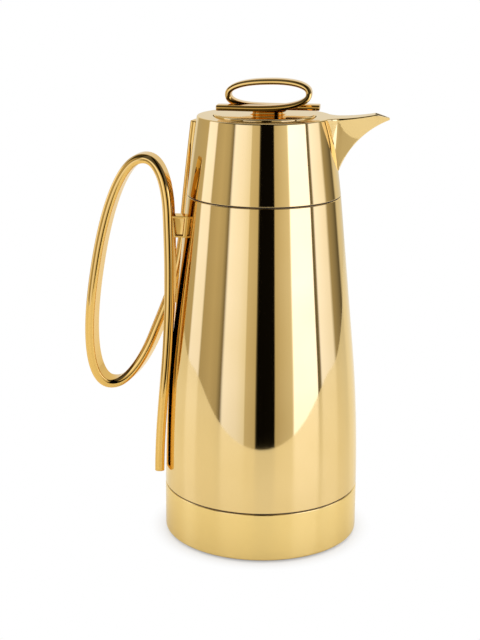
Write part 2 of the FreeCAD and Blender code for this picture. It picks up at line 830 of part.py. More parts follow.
pedestal_length = value("pedestal_length")
pedestal_width = value("pedestal_width")
draft = value("pedestal_draft")
pedestal_solid = Part.makeLoft([
    stadium(pedestal_length - 2 * draft, pedestal_width - 2 * draft, value(lid_top)),
    stadium(pedestal_length, pedestal_width, value(pedestal_top)),
], True, True)
knob_screws = []
for along in (knob_side, -knob_side):
    foot = Vector(knob_shift, along, value(lid_under))
    bite = value(f"{pedestal_top} + knob_screw_bite - {lid_under}")
    hole = Part.makeCylinder(value(knob_hole), bite + value("hole_play"), foot)
    pedestal_solid = pedestal_solid.cut(hole).cut(knob_solid)
    knob_solid = knob_solid.cut(hole)
    head_height = value("knob_screw_head_height")
    head = Part.makeCylinder(value("knob_screw_head"), head_height, foot - Vector(0, 0, head_height))
    knob_screws.append(head.fuse(Part.makeCylinder(value("knob_screw_radius"), bite, foot)).removeSplitter())
pieces["knob_pedestal"] = shaped("knob_pedestal", pedestal_solid)
pieces["knob_loop"] = shaped("knob_loop", knob_solid)
pieces["knob_screws"] = shaped("knob_screws", Part.makeCompound(knob_screws))

# Handle: the near tail runs down the shell, the far tail up the collar, and the loop stands out behind
loop_middle = value("loop_middle")
loop_lean = value("loop_lean")
half_band = value("band_thickness / 2")
tail_angle = math.radians(value("tail_angle"))
tail_twist = math.radians(value("tail_twist"))
crossing_radius = body_radius(loop_middle)
crossing_side = crossing_radius * math.sin(tail_angle)
crossing_inner = crossing_side - value("band_width / 2")
crossing_touch = math.sqrt(crossing_radius ** 2 - crossing_inner ** 2)
crossing_reach = crossing_touch + value("crossing_play") + half_band


def tail_point(height, lift, side):
    out = body_radius(height) + value("tail_play") + lift + half_band
    return Vector(-out * math.cos(tail_angle), side * out * math.sin(tail_angle), height)


def tail_direction(side):
    return Vector(side * math.sin(tail_twist), math.cos(tail_twist), 0)


tail_low = value("tail_low")
tail_high = value("tail_high")
tail_touch = value("tail_touch")
tail_rest = (loop_middle + tail_high) / 2
handle_points = [tail_point(tail_low, value("tail_lift"), -1)]
handle_points.append(tail_point((tail_low + tail_touch) / 2, value("tail_lift") / 2, -1))
handle_points.append(tail_point(tail_touch, 0, -1))
handle_sides = [tail_direction(-1)] * 3
loop_points = oval(value("loop_reach"), crossing_reach, value("loop_half_height"),
                   value("loop_half_width"), crossing_side)
loop_points.insert(0, (0, crossing_reach, -crossing_side))
loop_points.append((0, crossing_reach, crossing_side))
for place, (along, out, aside) in enumerate(loop_points):
    twist = tail_twist * place / (len(loop_points) - 1)
    bow = value("loop_bow") * (along / value("loop_half_height")) ** 2
    handle_points.append(Vector(loop_lean * along - bow - out, aside, loop_middle + along))
    handle_sides.append(Vector(math.sin(twist), math.cos(twist), 0))
handle_points.append(tail_point(tail_rest, 0, 1))
handle_points.append(tail_point((tail_rest + tail_high) / 2, 0, 1))
handle_points.append(tail_point(tail_high, 0, 1))
handle_sides += [tail_direction(1)] * 3
handle_solid = band(
    handle_points, handle_sides,
    value("band_thickness"), value("band_width"), value("band_round"), value("tail_bevel"))

# Lugs, screws and saddle washers hold the handle's strands off the shell


def lug_parts(height, tall, side):
    along = side * crossing_side
    lug_width = value("lug_width")
    surface = -math.sqrt(body_radius(height) ** 2 - along ** 2)
    taper = value("lug_taper")
    reach = 2 * half_band
    profile = [
        Vector(surface + reach, along - lug_width / 2, height + tall / 2),
        Vector(surface - 2 * reach, along - lug_width / 2, height + tall / 2),
        Vector(surface - 2 * reach + taper, along - lug_width / 2, height - tall / 2),
        Vector(surface + reach - taper, along - lug_width / 2, height - tall / 2),
    ]
    block = Part.Face(Part.makePolygon(profile + profile[:1])).extrude(Vector(0, lug_width, 0))
    lug = block.cut(shell_solid).cut(handle_solid)
    lug = min(lug.Solids, key=lambda solid: abs(solid.CenterOfMass.x - surface))
    inward = Vector(1, 0, 0)
    wall = value("shell_wall")
    washer_thickness = value("washer_thickness")
    seat = Vector(surface + wall + washer_thickness, along, height)
    bite = value("screw_bite") + wall + washer_thickness
    shank = Part.makeCylinder(value("screw_radius"), bite, seat, -inward)
    head = Part.makeCylinder(value("screw_head"), value("screw_head_height"), seat, inward)
    clearance = Part.makeCylinder(value("screw_radius + hole_play"), bite + value("hole_play"), seat, -inward)
    pad = Part.makeCylinder(value("washer_radius"), 2 * washer_thickness, seat, -inward)
    return lug.cut(clearance), head.fuse(shank).removeSplitter(), clearance, pad


lug_list = [
    ("upper_lug", "upper_lug_height", "upper_lug_tall", -1),
    ("lower_lug", "lower_lug_height", "lower_lug_tall", 1),
]
handle_screws = []
handle_washers = []
shell_cut = shell_blank.Shape.copy()
inner_space = shell_solid.cut(shell_blank.Shape)
for name, height, tall, side in lug_list:
    lug, screw, clearance, pad = lug_parts(value(height), value(tall), side)
    pieces[name] = shaped(name, lug)
    handle_screws.append(screw)
    handle_washers.append(pad.common(inner_space).cut(clearance))
    shell_cut = shell_cut.cut(clearance)
    handle_solid = handle_solid.cut(clearance)
pieces["body_shell"] = shaped("body_shell", shell_cut)
pieces["handle_loop"] = shaped("handle_loop", handle_solid)
pieces["handle_screws"] = shaped("handle_screws", Part.makeCompound(handle_screws))
pieces["handle_washers"] = shaped("handle_washers", Part.makeCompound(handle_washers))

# Spout: a covered beak, flush with the collar's top, lofted from a flared root to an open tip
spout_top = value("rim_height")
spout_tip = value("spout_reach")
lip_start = spout_tip - value("spout_lip")
keel_radius = value("spout_keel_radius")
keel_root = Vector(body_radius(spout_top - value("spout_drop")), spout_top - value("spout_drop"), 0)
keel_tip = Vector(spout_tip, spout_top - value("spout_lip_drop"), 0)
keel_chord = keel_tip - keel_root
keel_right = Vector(keel_chord.y, -keel_chord.x, 0).normalize()
keel_depth = math.sqrt(keel_radius ** 2 - (keel_chord.Length / 2) ** 2)
keel_centre = (keel_root + keel_tip) / 2 + keel_right * keel_depth


def keel_height(across):
    # an arc from root to tip, and a straight slope where the root lies inside the collar
    if across < keel_root.x:
        return keel_root.y - (keel_root.x - across)
    return keel_centre.y + math.sqrt(keel_radius ** 2 - (min(across, spout_tip) - keel_centre.x) ** 2)


def spout_crest(across):
    # the covered top leaves the collar level and rises towards the lip
    start = value("rim_radius")
    share = min(max(across - start, 0) / (lip_start - start), 1)
    return spout_top + value("spout_rise") * share ** 2


def spout_half(across):
    # half the spout's width in plan: a flared root, a slow taper and a rounded beak
    root = math.sqrt(value("rim_radius ^ 2 - spout_root_half ^ 2"))
    throat = value("spout_throat_half")
    lip = value("spout_lip_half")
    flare_end = root + value("spout_flare")
    if across <= flare_end:
        flare = (flare_end - across) / (flare_end - root)
        return throat + (value("spout_root_half") - throat) * flare ** 2
    if across <= lip_start:
        return throat + (lip - throat) * (across - flare_end) / (lip_start - flare_end)
    beak = (min(across, spout_tip) - lip_start) / (spout_tip - lip_start)
    return lip + (value("spout_tip_half") - lip) * beak ** 2


def spout_section(across, low, half, top, rounding):
    # flat top with rounded corners, slightly hollow flanks and a round keel
    keel = value("spout_keel_share") * half
    keel_side = low + value("spout_keel_depth") * keel

    def at(y, z):
        return Vector(across, y, z)

    bevel = rounding * (1 - math.sqrt(0.5))
    flank_y = (half + keel) / 2 - value("spout_flank_hollow") * (top - low)
    flank_z = (top - rounding + keel_side) / 2
    return Part.Wire([
        Part.LineSegment(at(rounding - half, top), at(half - rounding, top)).toShape(),
        Part.Arc(at(half - rounding, top), at(half - bevel, top - bevel), at(half, top - rounding)).toShape(),
        Part.Arc(at(half, top - rounding), at(flank_y, flank_z), at(keel, keel_side)).toShape(),
        Part.Arc(at(keel, keel_side), at(0, low), at(-keel, keel_side)).toShape(),
        Part.Arc(at(-keel, keel_side), at(-flank_y, flank_z), at(-half, top - rounding)).toShape(),
        Part.Arc(
            at(-half, top - rounding), at(bevel - half, top - bevel), at(rounding - half, top)).toShape(),
    ])


spout_wall = value("spout_wall")
spout_round = value("spout_round")
spout_start = value("rim_radius - spout_root_depth")
outer_sections = []
for share in outer_shares:
    across = spout_start + (spout_tip - spout_start) * share
    outer_sections.append(spout_section(
        across, keel_height(across), spout_half(across), spout_crest(across), spout_round))
inner_sections = []
covered = [spout_start + (lip_start - spout_start) * share for share in inner_shares]
uncovered = [lip_start + spout_wall, (lip_start + spout_tip) / 2, spout_tip + spout_wall]
for across in covered + uncovered:
    ceiling = spout_crest(across) + (-spout_wall if across in covered else spout_wall)
    inner_sections.append(spout_section(
        across, keel_height(across) + spout_wall, spout_half(across) - spout_wall, ceiling, spout_round / 2))
spout_outer = Part.makeLoft(outer_sections, True, False)
spout_inner = Part.makeLoft(inner_sections, True, True)
collar_cone = Part.makeCone(
    value("collar_seam_radius"), value("rim_radius"), value(f"rim_height - {collar_shoulder}"),
    Vector(0, 0, value(collar_shoulder)))
mouth_high = spout_crest(lip_start)
mouth_low = keel_tip.y + spout_wall
mouth_side = [
    Vector(lip_start, -spout_tip, mouth_high),
    Vector(spout_tip, -spout_tip, mouth_low),
    Vector(spout_tip + spout_wall, -spout_tip, mouth_low),
    Vector(spout_tip + spout_wall, -spout_tip, mouth_high + spout_wall),
    Vector(lip_start, -spout_tip, mouth_high + spout_wall),
]
mouth_cut = Part.Face(Part.makePolygon(mouth_side + mouth_side[:1])).extrude(Vector(0, 2 * spout_tip, 0))
lid_space = Part.makeCylinder(value("rim_radius"), value("spout_drop"), Vector(0, 0, spout_top))
spout_solid = spout_outer.cut(collar_cone).cut(lid_space).cut(spout_inner).cut(mouth_cut)
pieces["spout"] = shaped("spout", spout_solid)

doc.recompute()
for item in doc.Objects:
    if "Invalid" in item.State or "Error" in item.State:
        raise RuntimeError(f"{item.Name} did not build")
for name, piece in pieces.items():
    piece.Label = name
    if piece.Shape.isNull() or not piece.Shape.isValid():
        raise RuntimeError(f"{name} is not a sound shape")
os.makedirs("parts", exist_ok=True)
for name, piece in pieces.items():
    piece.Shape.exportStep(f"parts/{name}.step")
    print(name, len(piece.Shape.Solids), round(piece.Shape.Volume / 1000, 2), "cm3")
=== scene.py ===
import json
import math

import bmesh
import bpy
import numpy as np
from mathutils import Matrix, Vector

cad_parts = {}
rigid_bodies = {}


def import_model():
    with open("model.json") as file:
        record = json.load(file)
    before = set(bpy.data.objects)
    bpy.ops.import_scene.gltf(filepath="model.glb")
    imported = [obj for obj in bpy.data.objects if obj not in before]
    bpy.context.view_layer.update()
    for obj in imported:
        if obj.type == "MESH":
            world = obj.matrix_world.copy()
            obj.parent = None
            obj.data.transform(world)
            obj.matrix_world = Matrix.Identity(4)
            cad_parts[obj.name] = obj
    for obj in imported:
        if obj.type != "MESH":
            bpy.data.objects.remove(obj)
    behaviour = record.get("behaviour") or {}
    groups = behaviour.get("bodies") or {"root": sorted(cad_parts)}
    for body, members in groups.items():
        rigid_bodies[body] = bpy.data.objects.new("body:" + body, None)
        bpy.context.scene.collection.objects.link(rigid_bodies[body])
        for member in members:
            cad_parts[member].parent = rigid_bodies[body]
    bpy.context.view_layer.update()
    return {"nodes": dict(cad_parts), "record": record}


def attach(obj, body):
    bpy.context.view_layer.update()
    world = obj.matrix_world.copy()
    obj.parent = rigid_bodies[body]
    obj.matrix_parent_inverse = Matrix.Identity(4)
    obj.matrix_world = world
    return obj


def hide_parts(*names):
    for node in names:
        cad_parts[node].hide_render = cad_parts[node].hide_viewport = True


for spare in list(bpy.data.objects):
    bpy.data.objects.remove(spare)
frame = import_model()
nodes = frame["nodes"]
bodyOf = {node: body for body, members in frame["record"]["behaviour"]["bodies"].items() for node in members}
slotOf = {row["node"]: row["material_slot"] for row in frame["record"]["subparts"]}
mm = 0.001
print("frame loaded:", len(nodes), "nodes")


# finishes
def newMaterial(name):
    material = bpy.data.materials.new(name)
    material.use_nodes = True
    tree = material.node_tree
    shader = tree.nodes["Principled BSDF"]
    place = tree.nodes.new("ShaderNodeTexCoord")
    return material, tree, shader, place.outputs["Object"]


def noise(tree, vector, scale, detail, stretch=(1, 1, 1)):
    mapping = tree.nodes.new("ShaderNodeMapping")
    mapping.inputs["Scale"].default_value = stretch
    tree.links.new(vector, mapping.inputs["Vector"])
    texture = tree.nodes.new("ShaderNodeTexNoise")
    texture.inputs["Scale"].default_value = scale
    texture.inputs["Detail"].default_value = detail
    tree.links.new(mapping.outputs["Vector"], texture.inputs["Vector"])
    return texture.outputs["Fac"]


def tones(tree, fac, dark, light, darkAt=0.3, lightAt=0.7):
    ramp = tree.nodes.new("ShaderNodeValToRGB")
    for element, place, colour in zip(ramp.color_ramp.elements, (darkAt, lightAt), (dark, light)):
        element.position = place
        element.color = (*colour, 1)
    tree.links.new(fac, ramp.inputs["Fac"])
    return ramp.outputs["Color"]


def rangeNode(tree, fromMin=0.0, fromMax=1.0, toMin=0.0, toMax=1.0):
    node = tree.nodes.new("ShaderNodeMapRange")
    for label, value in (("From Min", fromMin), ("From Max", fromMax), ("To Min", toMin), ("To Max", toMax)):
        node.inputs[label].default_value = value
    return node


def mathNode(tree, operation):
    node = tree.nodes.new("ShaderNodeMath")
    node.operation = operation
    return node


def joinAll(tree, pairs):
    for start, end in pairs:
        tree.links.new(start, end)


def spread(tree, fac, low, high):
    span = rangeNode(tree, toMin=low, toMax=high)
    tree.links.new(fac, span.inputs["Value"])
    return span.outputs["Result"]


def bump(tree, shader, height, depth, strength):
    node = tree.nodes.new("ShaderNodeBump")
    node.inputs["Strength"].default_value = strength
    node.inputs["Distance"].default_value = depth
    tree.links.new(height, node.inputs["Height"])
    tree.links.new(node.outputs["Normal"], shader.inputs["Normal"])


goldGrain = {
    "cloudScale": 18, "cloudDetail": 2, "markDetail": 4, "strength": 0.4, "edgeTint": (1.0, 0.98, 0.88),
}
plainGrain = {"detail": 4, "strength": 0.6}


def goldFinish(name, look):
    material, tree, shader, place = newMaterial(name)
    shader.inputs["Metallic"].default_value = 1.0
    shader.inputs["IOR"].default_value = 1.5
    shader.inputs["Specular Tint"].default_value = (*goldGrain["edgeTint"], 1)
    cloud = noise(tree, place, goldGrain["cloudScale"], goldGrain["cloudDetail"])
    marks = noise(tree, place, look["markScale"], goldGrain["markDetail"], look["markStretch"])
    tree.links.new(tones(tree, cloud, look["deep"], look["pale"]), shader.inputs["Base Color"])
    tree.links.new(spread(tree, marks, *look["rough"]), shader.inputs["Roughness"])
    bump(tree, shader, marks, look["markDepth"] * mm, goldGrain["strength"])
    return material


def plainFinish(name, look):
    material, tree, shader, place = newMaterial(name)
    shader.inputs["Metallic"].default_value = look.get("metal", 0.0)
    shader.inputs["Transmission Weight"].default_value = look.get("clear", 0.0)
    shader.inputs["IOR"].default_value = look.get("ior", 1.5)
    shader.inputs["Sheen Weight"].default_value = look.get("sheen", 0.0)
    grain = noise(tree, place, look["grain"], plainGrain["detail"])
    tree.links.new(tones(tree, grain, look["deep"], look["pale"]), shader.inputs["Base Color"])
    tree.links.new(spread(tree, grain, *look["rough"]), shader.inputs["Roughness"])
    bump(tree, shader, grain, look["depth"] * mm, plainGrain["strength"])
    return material


fineMarks = {"markScale": 900, "markStretch": (1, 1, 1), "markDepth": 0.0004}
mirrorGold = {
    "deep": (0.865, 0.622, 0.247), "pale": (0.905, 0.662, 0.285), "rough": (0.035, 0.06), **fineMarks,
}
deepGold = {
    "deep": (0.845, 0.525, 0.135), "pale": (0.885, 0.565, 0.16), "rough": (0.03, 0.05), **fineMarks,
}
softGold = {
    "deep": (0.965, 0.69, 0.243), "pale": (0.99, 0.725, 0.272), "rough": (0.14, 0.22),
    "markScale": 60, "markStretch": (1, 1, 60), "markDepth": 0.0008,
}
plainLooks = {
    "foot_rubber": {"deep": (0.02, 0.02, 0.02), "pale": (0.04, 0.04, 0.038), "rough": (0.6, 0.85),
                    "grain": 700, "depth": 0.08},
    "cushion_rubber": {"deep": (0.03, 0.03, 0.028), "pale": (0.05, 0.05, 0.046), "rough": (0.6, 0.85),
                       "grain": 500, "depth": 0.08},
    "seal_rubber": {"deep": (0.008, 0.007, 0.006), "pale": (0.018, 0.015, 0.012), "rough": (0.5, 0.7),
                    "grain": 900, "depth": 0.03},
    "silicone": {"deep": (0.60, 0.60, 0.57), "pale": (0.72, 0.72, 0.69), "rough": (0.38, 0.55),
                 "grain": 600, "depth": 0.03},
    "inner_plastic": {"deep": (0.010, 0.010, 0.010), "pale": (0.022, 0.022, 0.022), "rough": (0.3, 0.5),
                      "grain": 1200, "depth": 0.03},
    "stopper_plastic": {"deep": (0.012, 0.012, 0.012), "pale": (0.026, 0.026, 0.026), "rough": (0.28, 0.48),
                        "grain": 1200, "depth": 0.03},
    "stopper_foam": {"deep": (0.70, 0.69, 0.62), "pale": (0.82, 0.81, 0.75), "rough": (0.75, 0.95),
                     "grain": 1500, "depth": 0.2},
    "silvered_glass": {"deep": (0.68, 0.70, 0.71), "pale": (0.80, 0.82, 0.83), "rough": (0.03, 0.09),
                       "grain": 90, "depth": 0.01, "metal": 1.0},
    "clear_glass": {"deep": (0.80, 0.86, 0.85), "pale": (0.90, 0.94, 0.93), "rough": (0.01, 0.04),
                    "grain": 60, "depth": 0.01, "clear": 1.0, "ior": 1.5},
    "spacer_felt": {"deep": (0.30, 0.28, 0.23), "pale": (0.46, 0.43, 0.37), "rough": (0.85, 1.0),
                    "grain": 1600, "depth": 0.25, "sheen": 0.4},
    "steel": {"deep": (0.48, 0.48, 0.47), "pale": (0.62, 0.62, 0.61), "rough": (0.25, 0.4),
              "grain": 400, "depth": 0.01, "metal": 1.0},
}
finishes = {name: plainFinish(name, look) for name, look in plainLooks.items()}
for name in ("gold_shell", "gold_collar", "gold_spout", "gold_lid"):
    finishes[name] = goldFinish(name, mirrorGold)
finishes["gold_handle"] = goldFinish("gold_handle", deepGold)
finishes["gold_base"] = goldFinish("gold_base", softGold)
print("finishes made:", len(finishes))


# making pieces: points closer than weldWithin (m) merge, and a ring inside poleWithin (mm) is one point
weldWithin = 1e-6
poleWithin = 1e-6
made = set()


def addObject(name, data):
    item = bpy.data.objects.new(name, data)
    bpy.context.scene.collection.objects.link(item)
    return item


def addPiece(name, mesh, node, sharp=40):
    mesh.materials.clear()
    mesh.materials.append(finishes[slotOf[node]])
    mesh.shade_smooth()
    mesh.set_sharp_from_angle(angle=math.radians(sharp))
    piece = addObject(name, mesh)
    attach(piece, bodyOf[node])
    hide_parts(node)
    made.add(node)


def takeMesh(carrier, name):
    # the finished mesh of an object with modifiers, which then goes
    mesh = bpy.data.meshes.new_from_object(carrier.evaluated_get(bpy.context.evaluated_depsgraph_get()))
    mesh.name = name
    bpy.data.objects.remove(carrier)
    return mesh


def meshFrom(work, name):
    bmesh.ops.remove_doubles(work, verts=work.verts, dist=weldWithin)
    bmesh.ops.recalc_face_normals(work, faces=work.faces)
    mesh = bpy.data.meshes.new(name)
    work.to_mesh(mesh)
    work.free()
    return mesh


def bridge(work, first, second):
    # faces between two closed rings, with three sides at a pole
    for step in range(len(first)):
        following = (step + 1) % len(first)
        corners = []
        for vert in (first[step], first[following], second[following], second[step]):
            if vert not in corners:
                corners.append(vert)
        if len(corners) > 2:
            work.faces.new(corners)


def roundedOutline(corners, steps=6, hold=0.3):
    # corners are radius, height and edge rounding in mm, and the outline closes on itself
    outline = []
    count = len(corners)
    for index in range(count):
        before, corner, after = (Vector(corners[(index + shift) % count][:2]) for shift in (-1, 0, 1))
        rounding = corners[index][2]
        if rounding == 0:
            outline.append(corner)
            continue
        back = (before - corner).normalized()
        ahead = (after - corner).normalized()
        half = back.angle(ahead) / 2
        reach = rounding / math.tan(half)
        centre = corner + (back + ahead).normalized() * rounding / math.sin(half)
        first = corner + back * reach - centre
        last = corner + ahead * reach - centre
        outline.append(corner + back * (reach + hold))
        for step in range(steps + 1):
            share = step / steps
            outline.append(centre + first.slerp(last, share) * rounding)
        outline.append(corner + ahead * (reach + hold))
    return outline


def latheMesh(name, outline, segments=256):
    work = bmesh.new()
    rings = []
    for spot in outline:
        if spot.x < poleWithin:
            rings.append([work.verts.new((0, 0, spot.y * mm))] * segments)
            continue
        ring = []
        for step in range(segments):
            angle = 2 * math.pi * step / segments
            ring.append(work.verts.new((
                spot.x * mm * math.cos(angle), spot.x * mm * math.sin(angle), spot.y * mm)))
        rings.append(ring)
    for low, high in zip(rings, rings[1:] + rings[:1]):
        bridge(work, low, high)
    return meshFrom(work, name)


# body: base ring, shell, collar and lid
pot = {
    "baseRadius": 65.0, "baseSeam": 34.0, "bend": 950.0, "collarRadius": 50.0, "collarSeam": 230.0,
    "rimRadius": 43.4, "rimHeight": 281.0, "seamGap": 0.6, "footLift": 1.0, "baseWall": 2.2, "baseEdge": 1.8,
    "tongue": 7.0, "tonguePlay": 0.15, "shellWall": 0.9, "collarWall": 1.6, "collarTop": 2.0,
    "collarEdge": 0.8, "lidOpening": 33.0, "capBore": 46.0, "webHeight": 5.0, "webThickness": 3.0,
    "edge": 0.42, "lipEdge": 0.8, "shellSteps": 48, "portLow": 256.0, "portHigh": 271.0, "portLowHalf": 3.2,
    "portHighHalf": 6.8, "portFrom": 21.0, "portTo": 65.0,
}
bendCentre = Vector((pot["baseRadius"] - pot["bend"], pot["baseSeam"]))
shellTop = Vector((pot["collarRadius"], pot["collarSeam"]))
shellReach = shellTop - bendCentre
bendAngle = math.atan2(shellReach.y, shellReach.x) - math.acos(pot["bend"] / shellReach.length)
bendEnd = bendCentre + Vector((math.cos(bendAngle), math.sin(bendAngle))) * pot["bend"]
collarShoulder = pot["collarSeam"] + pot["seamGap"]
collarTaper = (pot["collarRadius"] - pot["rimRadius"]) / (pot["rimHeight"] - collarShoulder)


def potRadius(height):
    if height <= bendCentre.y:
        return pot["baseRadius"]
    if height <= bendEnd.y:
        return bendCentre.x + math.sqrt(pot["bend"] ** 2 - (height - bendCentre.y) ** 2)
    if height <= pot["collarSeam"]:
        return bendEnd.x - (height - bendEnd.y) * math.tan(bendAngle)
    return pot["collarRadius"] - (height - collarShoulder) * collarTaper


baseInside = pot["baseRadius"] - pot["baseWall"]
baseTongue = pot["baseRadius"] - pot["shellWall"] - pot["tonguePlay"]
baseShoulder = pot["baseSeam"] - pot["seamGap"]
webTop = pot["webHeight"] + pot["webThickness"]
baseOutline = roundedOutline([
    (baseInside, pot["footLift"], 0), (pot["baseRadius"], pot["footLift"], pot["baseEdge"]),
    (pot["baseRadius"], baseShoulder, pot["lipEdge"]), (baseTongue, baseShoulder, 0),
    (baseTongue, pot["baseSeam"] + pot["tongue"], 0), (baseInside, pot["baseSeam"] + pot["tongue"], 0),
    (baseInside, webTop, 0), (pot["capBore"], webTop, 0), (pot["capBore"], pot["webHeight"], 0),
    (baseInside, pot["webHeight"], 0)])
addPiece("baseSkirt", latheMesh("baseSkirt", baseOutline), "base_ring")

shellTall = pot["collarSeam"] - pot["baseSeam"]
shellHeights = [
    pot["baseSeam"] + shellTall * step / pot["shellSteps"] for step in range(pot["shellSteps"] + 1)]
shellCorners = [(potRadius(height), height, 0) for height in shellHeights]
shellCorners[0] = (*shellCorners[0][:2], pot["edge"])
shellCorners[-1] = (*shellCorners[-1][:2], pot["lipEdge"])
shellCorners += [(potRadius(height) - pot["shellWall"], height, 0) for height in reversed(shellHeights)]
addPiece("taperedShell", latheMesh("taperedShell", roundedOutline(shellCorners)), "body_shell")
print("base and shell turned")

collarTongue = pot["collarRadius"] - pot["shellWall"] - pot["tonguePlay"]
collarCeiling = pot["rimHeight"] - pot["collarTop"]
collarInsideHigh = pot["rimRadius"] + collarTaper * pot["collarTop"] - pot["collarWall"]
collarOutline = roundedOutline([
    (collarTongue - pot["collarWall"], pot["collarSeam"] - pot["tongue"], 0),
    (collarTongue, pot["collarSeam"] - pot["tongue"], 0), (collarTongue, collarShoulder, 0),
    (pot["collarRadius"], collarShoulder, pot["edge"]),
    (pot["rimRadius"], pot["rimHeight"], pot["collarEdge"]),
    (pot["lidOpening"], pot["rimHeight"], pot["edge"]), (pot["lidOpening"], collarCeiling, 0),
    (collarInsideHigh, collarCeiling, 0)])
collarCarrier = addObject("collarCarrier", latheMesh("neckCollar", collarOutline))
# the pouring port, narrow at its foot as the spout is
cutWork = bmesh.new()
portEnds = []
for across in (pot["portFrom"], pot["portTo"]):
    portEnds.append([cutWork.verts.new((across * mm, aside * mm, height * mm)) for aside, height in (
        (-pot["portLowHalf"], pot["portLow"]), (pot["portLowHalf"], pot["portLow"]),
        (pot["portHighHalf"], pot["portHigh"]), (-pot["portHighHalf"], pot["portHigh"]))])
for end in portEnds:
    cutWork.faces.new(end)
bridge(cutWork, *portEnds)
portCutter = addObject("spoutPort", meshFrom(cutWork, "spoutPort"))
portCut = collarCarrier.modifiers.new("port", "BOOLEAN")
portCut.object = portCutter
portCut.solver = "EXACT"
addPiece("neckCollar", takeMesh(collarCarrier, "neckCollar"), "collar")
bpy.data.objects.remove(portCutter)

lid = {"radius": 32.6, "top": 282.2, "thickness": 2.6, "edge": 0.9, "lowEdge": 0.2}
lidOutline = roundedOutline([
    (0, lid["top"] - lid["thickness"], 0), (lid["radius"], lid["top"] - lid["thickness"], lid["lowEdge"]),
    (lid["radius"], lid["top"], lid["edge"]), (0, lid["top"], 0)])
addPiece("lidDisc", latheMesh("lidDisc", lidOutline), "lid_plate")
print("collar and lid turned")


def newTree(name, inputs, output):
    tree = bpy.data.node_groups.new(name, "GeometryNodeTree")
    for label, kind in inputs:
        tree.interface.new_socket(label, in_out="INPUT", socket_type="NodeSocket" + kind)
    tree.interface.new_socket(output, in_out="OUTPUT", socket_type="NodeSocketGeometry")
    return tree, tree.nodes.new("NodeGroupInput")


def endTree(tree, source, material):
    # copies are made real and take their finish
    realize = tree.nodes.new("GeometryNodeRealizeInstances")
    paint = tree.nodes.new("GeometryNodeSetMaterial")
    paint.inputs["Material"].default_value = material
    joinAll(tree, (
        (source, realize.inputs["Geometry"]), (realize.outputs["Geometry"], paint.inputs["Geometry"]),
        (paint.outputs["Geometry"], tree.nodes.new("NodeGroupOutput").inputs[0])))
    return tree


# ribbons: one tree sweeps the band of the handle and of the knob
def ribbonTree(material):
    tree, inside = newTree("ribbonSweep", (("Path", "Geometry"), ("Section", "Object")), "Ribbon")
    toCurve = tree.nodes.new("GeometryNodeMeshToCurve")
    lay = tree.nodes.new("GeometryNodeSetCurveNormal")
    wide = tree.nodes.new("GeometryNodeInputNamedAttribute")
    wide.data_type = "FLOAT_VECTOR"
    wide.inputs["Name"].default_value = "wide"
    section = tree.nodes.new("GeometryNodeObjectInfo")
    outline = tree.nodes.new("GeometryNodeMeshToCurve")
    sweep = tree.nodes.new("GeometryNodeCurveToMesh")
    lay.mode = "FREE"
    sweep.inputs["Fill Caps"].default_value = True
    joinAll(tree, (
        (inside.outputs["Path"], toCurve.inputs["Mesh"]), (toCurve.outputs["Curve"], lay.inputs["Curve"]),
        (wide.outputs["Attribute"], lay.inputs["Normal"]),
        (inside.outputs["Section"], section.inputs["Object"]),
        (section.outputs["Geometry"], outline.inputs["Mesh"]), (lay.outputs["Curve"], sweep.inputs["Curve"]),
        (outline.outputs["Curve"], sweep.inputs["Profile Curve"])))
    return endTree(tree, sweep.outputs["Mesh"], material)


def smoothLine(points):
    # a cubic line through the points, by its slopes at them
    spots = np.array([tuple(point) for point in points])
    gaps = np.linalg.norm(np.diff(spots, axis=0), axis=1)
    along = np.concatenate(([0.0], np.cumsum(gaps)))
    count = len(spots)
    matrix = np.zeros((count, count))
    right = np.zeros((count, 3))
    for index in range(1, count - 1):
        before, after = gaps[index - 1], gaps[index]
        matrix[index, index - 1:index + 2] = (after, 2 * (before + after), before)
        right[index] = 3 * (after * (spots[index] - spots[index - 1]) / before
                            + before * (spots[index + 1] - spots[index]) / after)
    for end, picked in ((0, [0, 1, 2, 3]), (count - 1, [count - 1, count - 2, count - 3, count - 4])):
        matrix[end, end] = 1
        powers = np.vander(along[picked] - along[end], 4, increasing=True)
        right[end] = np.linalg.solve(powers, spots[picked])[1]
    slopes = np.linalg.solve(matrix, right)

    def at(distance):
        index = min(max(int(np.searchsorted(along, distance)) - 1, 0), count - 2)
        gap = gaps[index]
        share = (distance - along[index]) / gap
        start, end = spots[index], spots[index + 1]
        leave, arrive = slopes[index] * gap, slopes[index + 1] * gap
        bend2 = 3 * (end - start) - 2 * leave - arrive
        bend3 = 2 * (start - end) + leave + arrive
        spot = start + leave * share + bend2 * share ** 2 + bend3 * share ** 3
        heading = leave + 2 * bend2 * share + 3 * bend3 * share ** 2
        return Vector(spot), Vector(heading).normalized(), index, share

    return along, at


band = {"clear": 1.1, "crownSteps": 6, "roundSteps": 8, "hold": 0.1, "endSteps": 3, "endAngle": 60.0}


def bandSection(name, look):
    # a flat band with crowned edges
    halfWide, halfThick = look["width"] / 2, look["thickness"] / 2
    crown = look["crown"]

    def edge(height):
        return halfWide - crown + math.sqrt(crown ** 2 - height ** 2)

    reach = halfThick - band["clear"] * look["rounding"]
    half = band["crownSteps"]
    side = [(edge(halfThick), -halfThick, look["rounding"])]
    side += [(edge(reach * step / half), reach * step / half, 0) for step in range(-half, half + 1)]
    side += [(edge(halfThick), halfThick, look["rounding"])]
    side += [(-across, -height, rounding) for across, height, rounding in side]
    outline = roundedOutline(side, band["roundSteps"], band["hold"])
    mesh = bpy.data.meshes.new(name)
    count = len(outline)
    ring = [(step, (step + 1) % count) for step in range(count)]
    mesh.from_pydata([(spot.x * mm, spot.y * mm, 0) for spot in outline], ring, [])
    return mesh


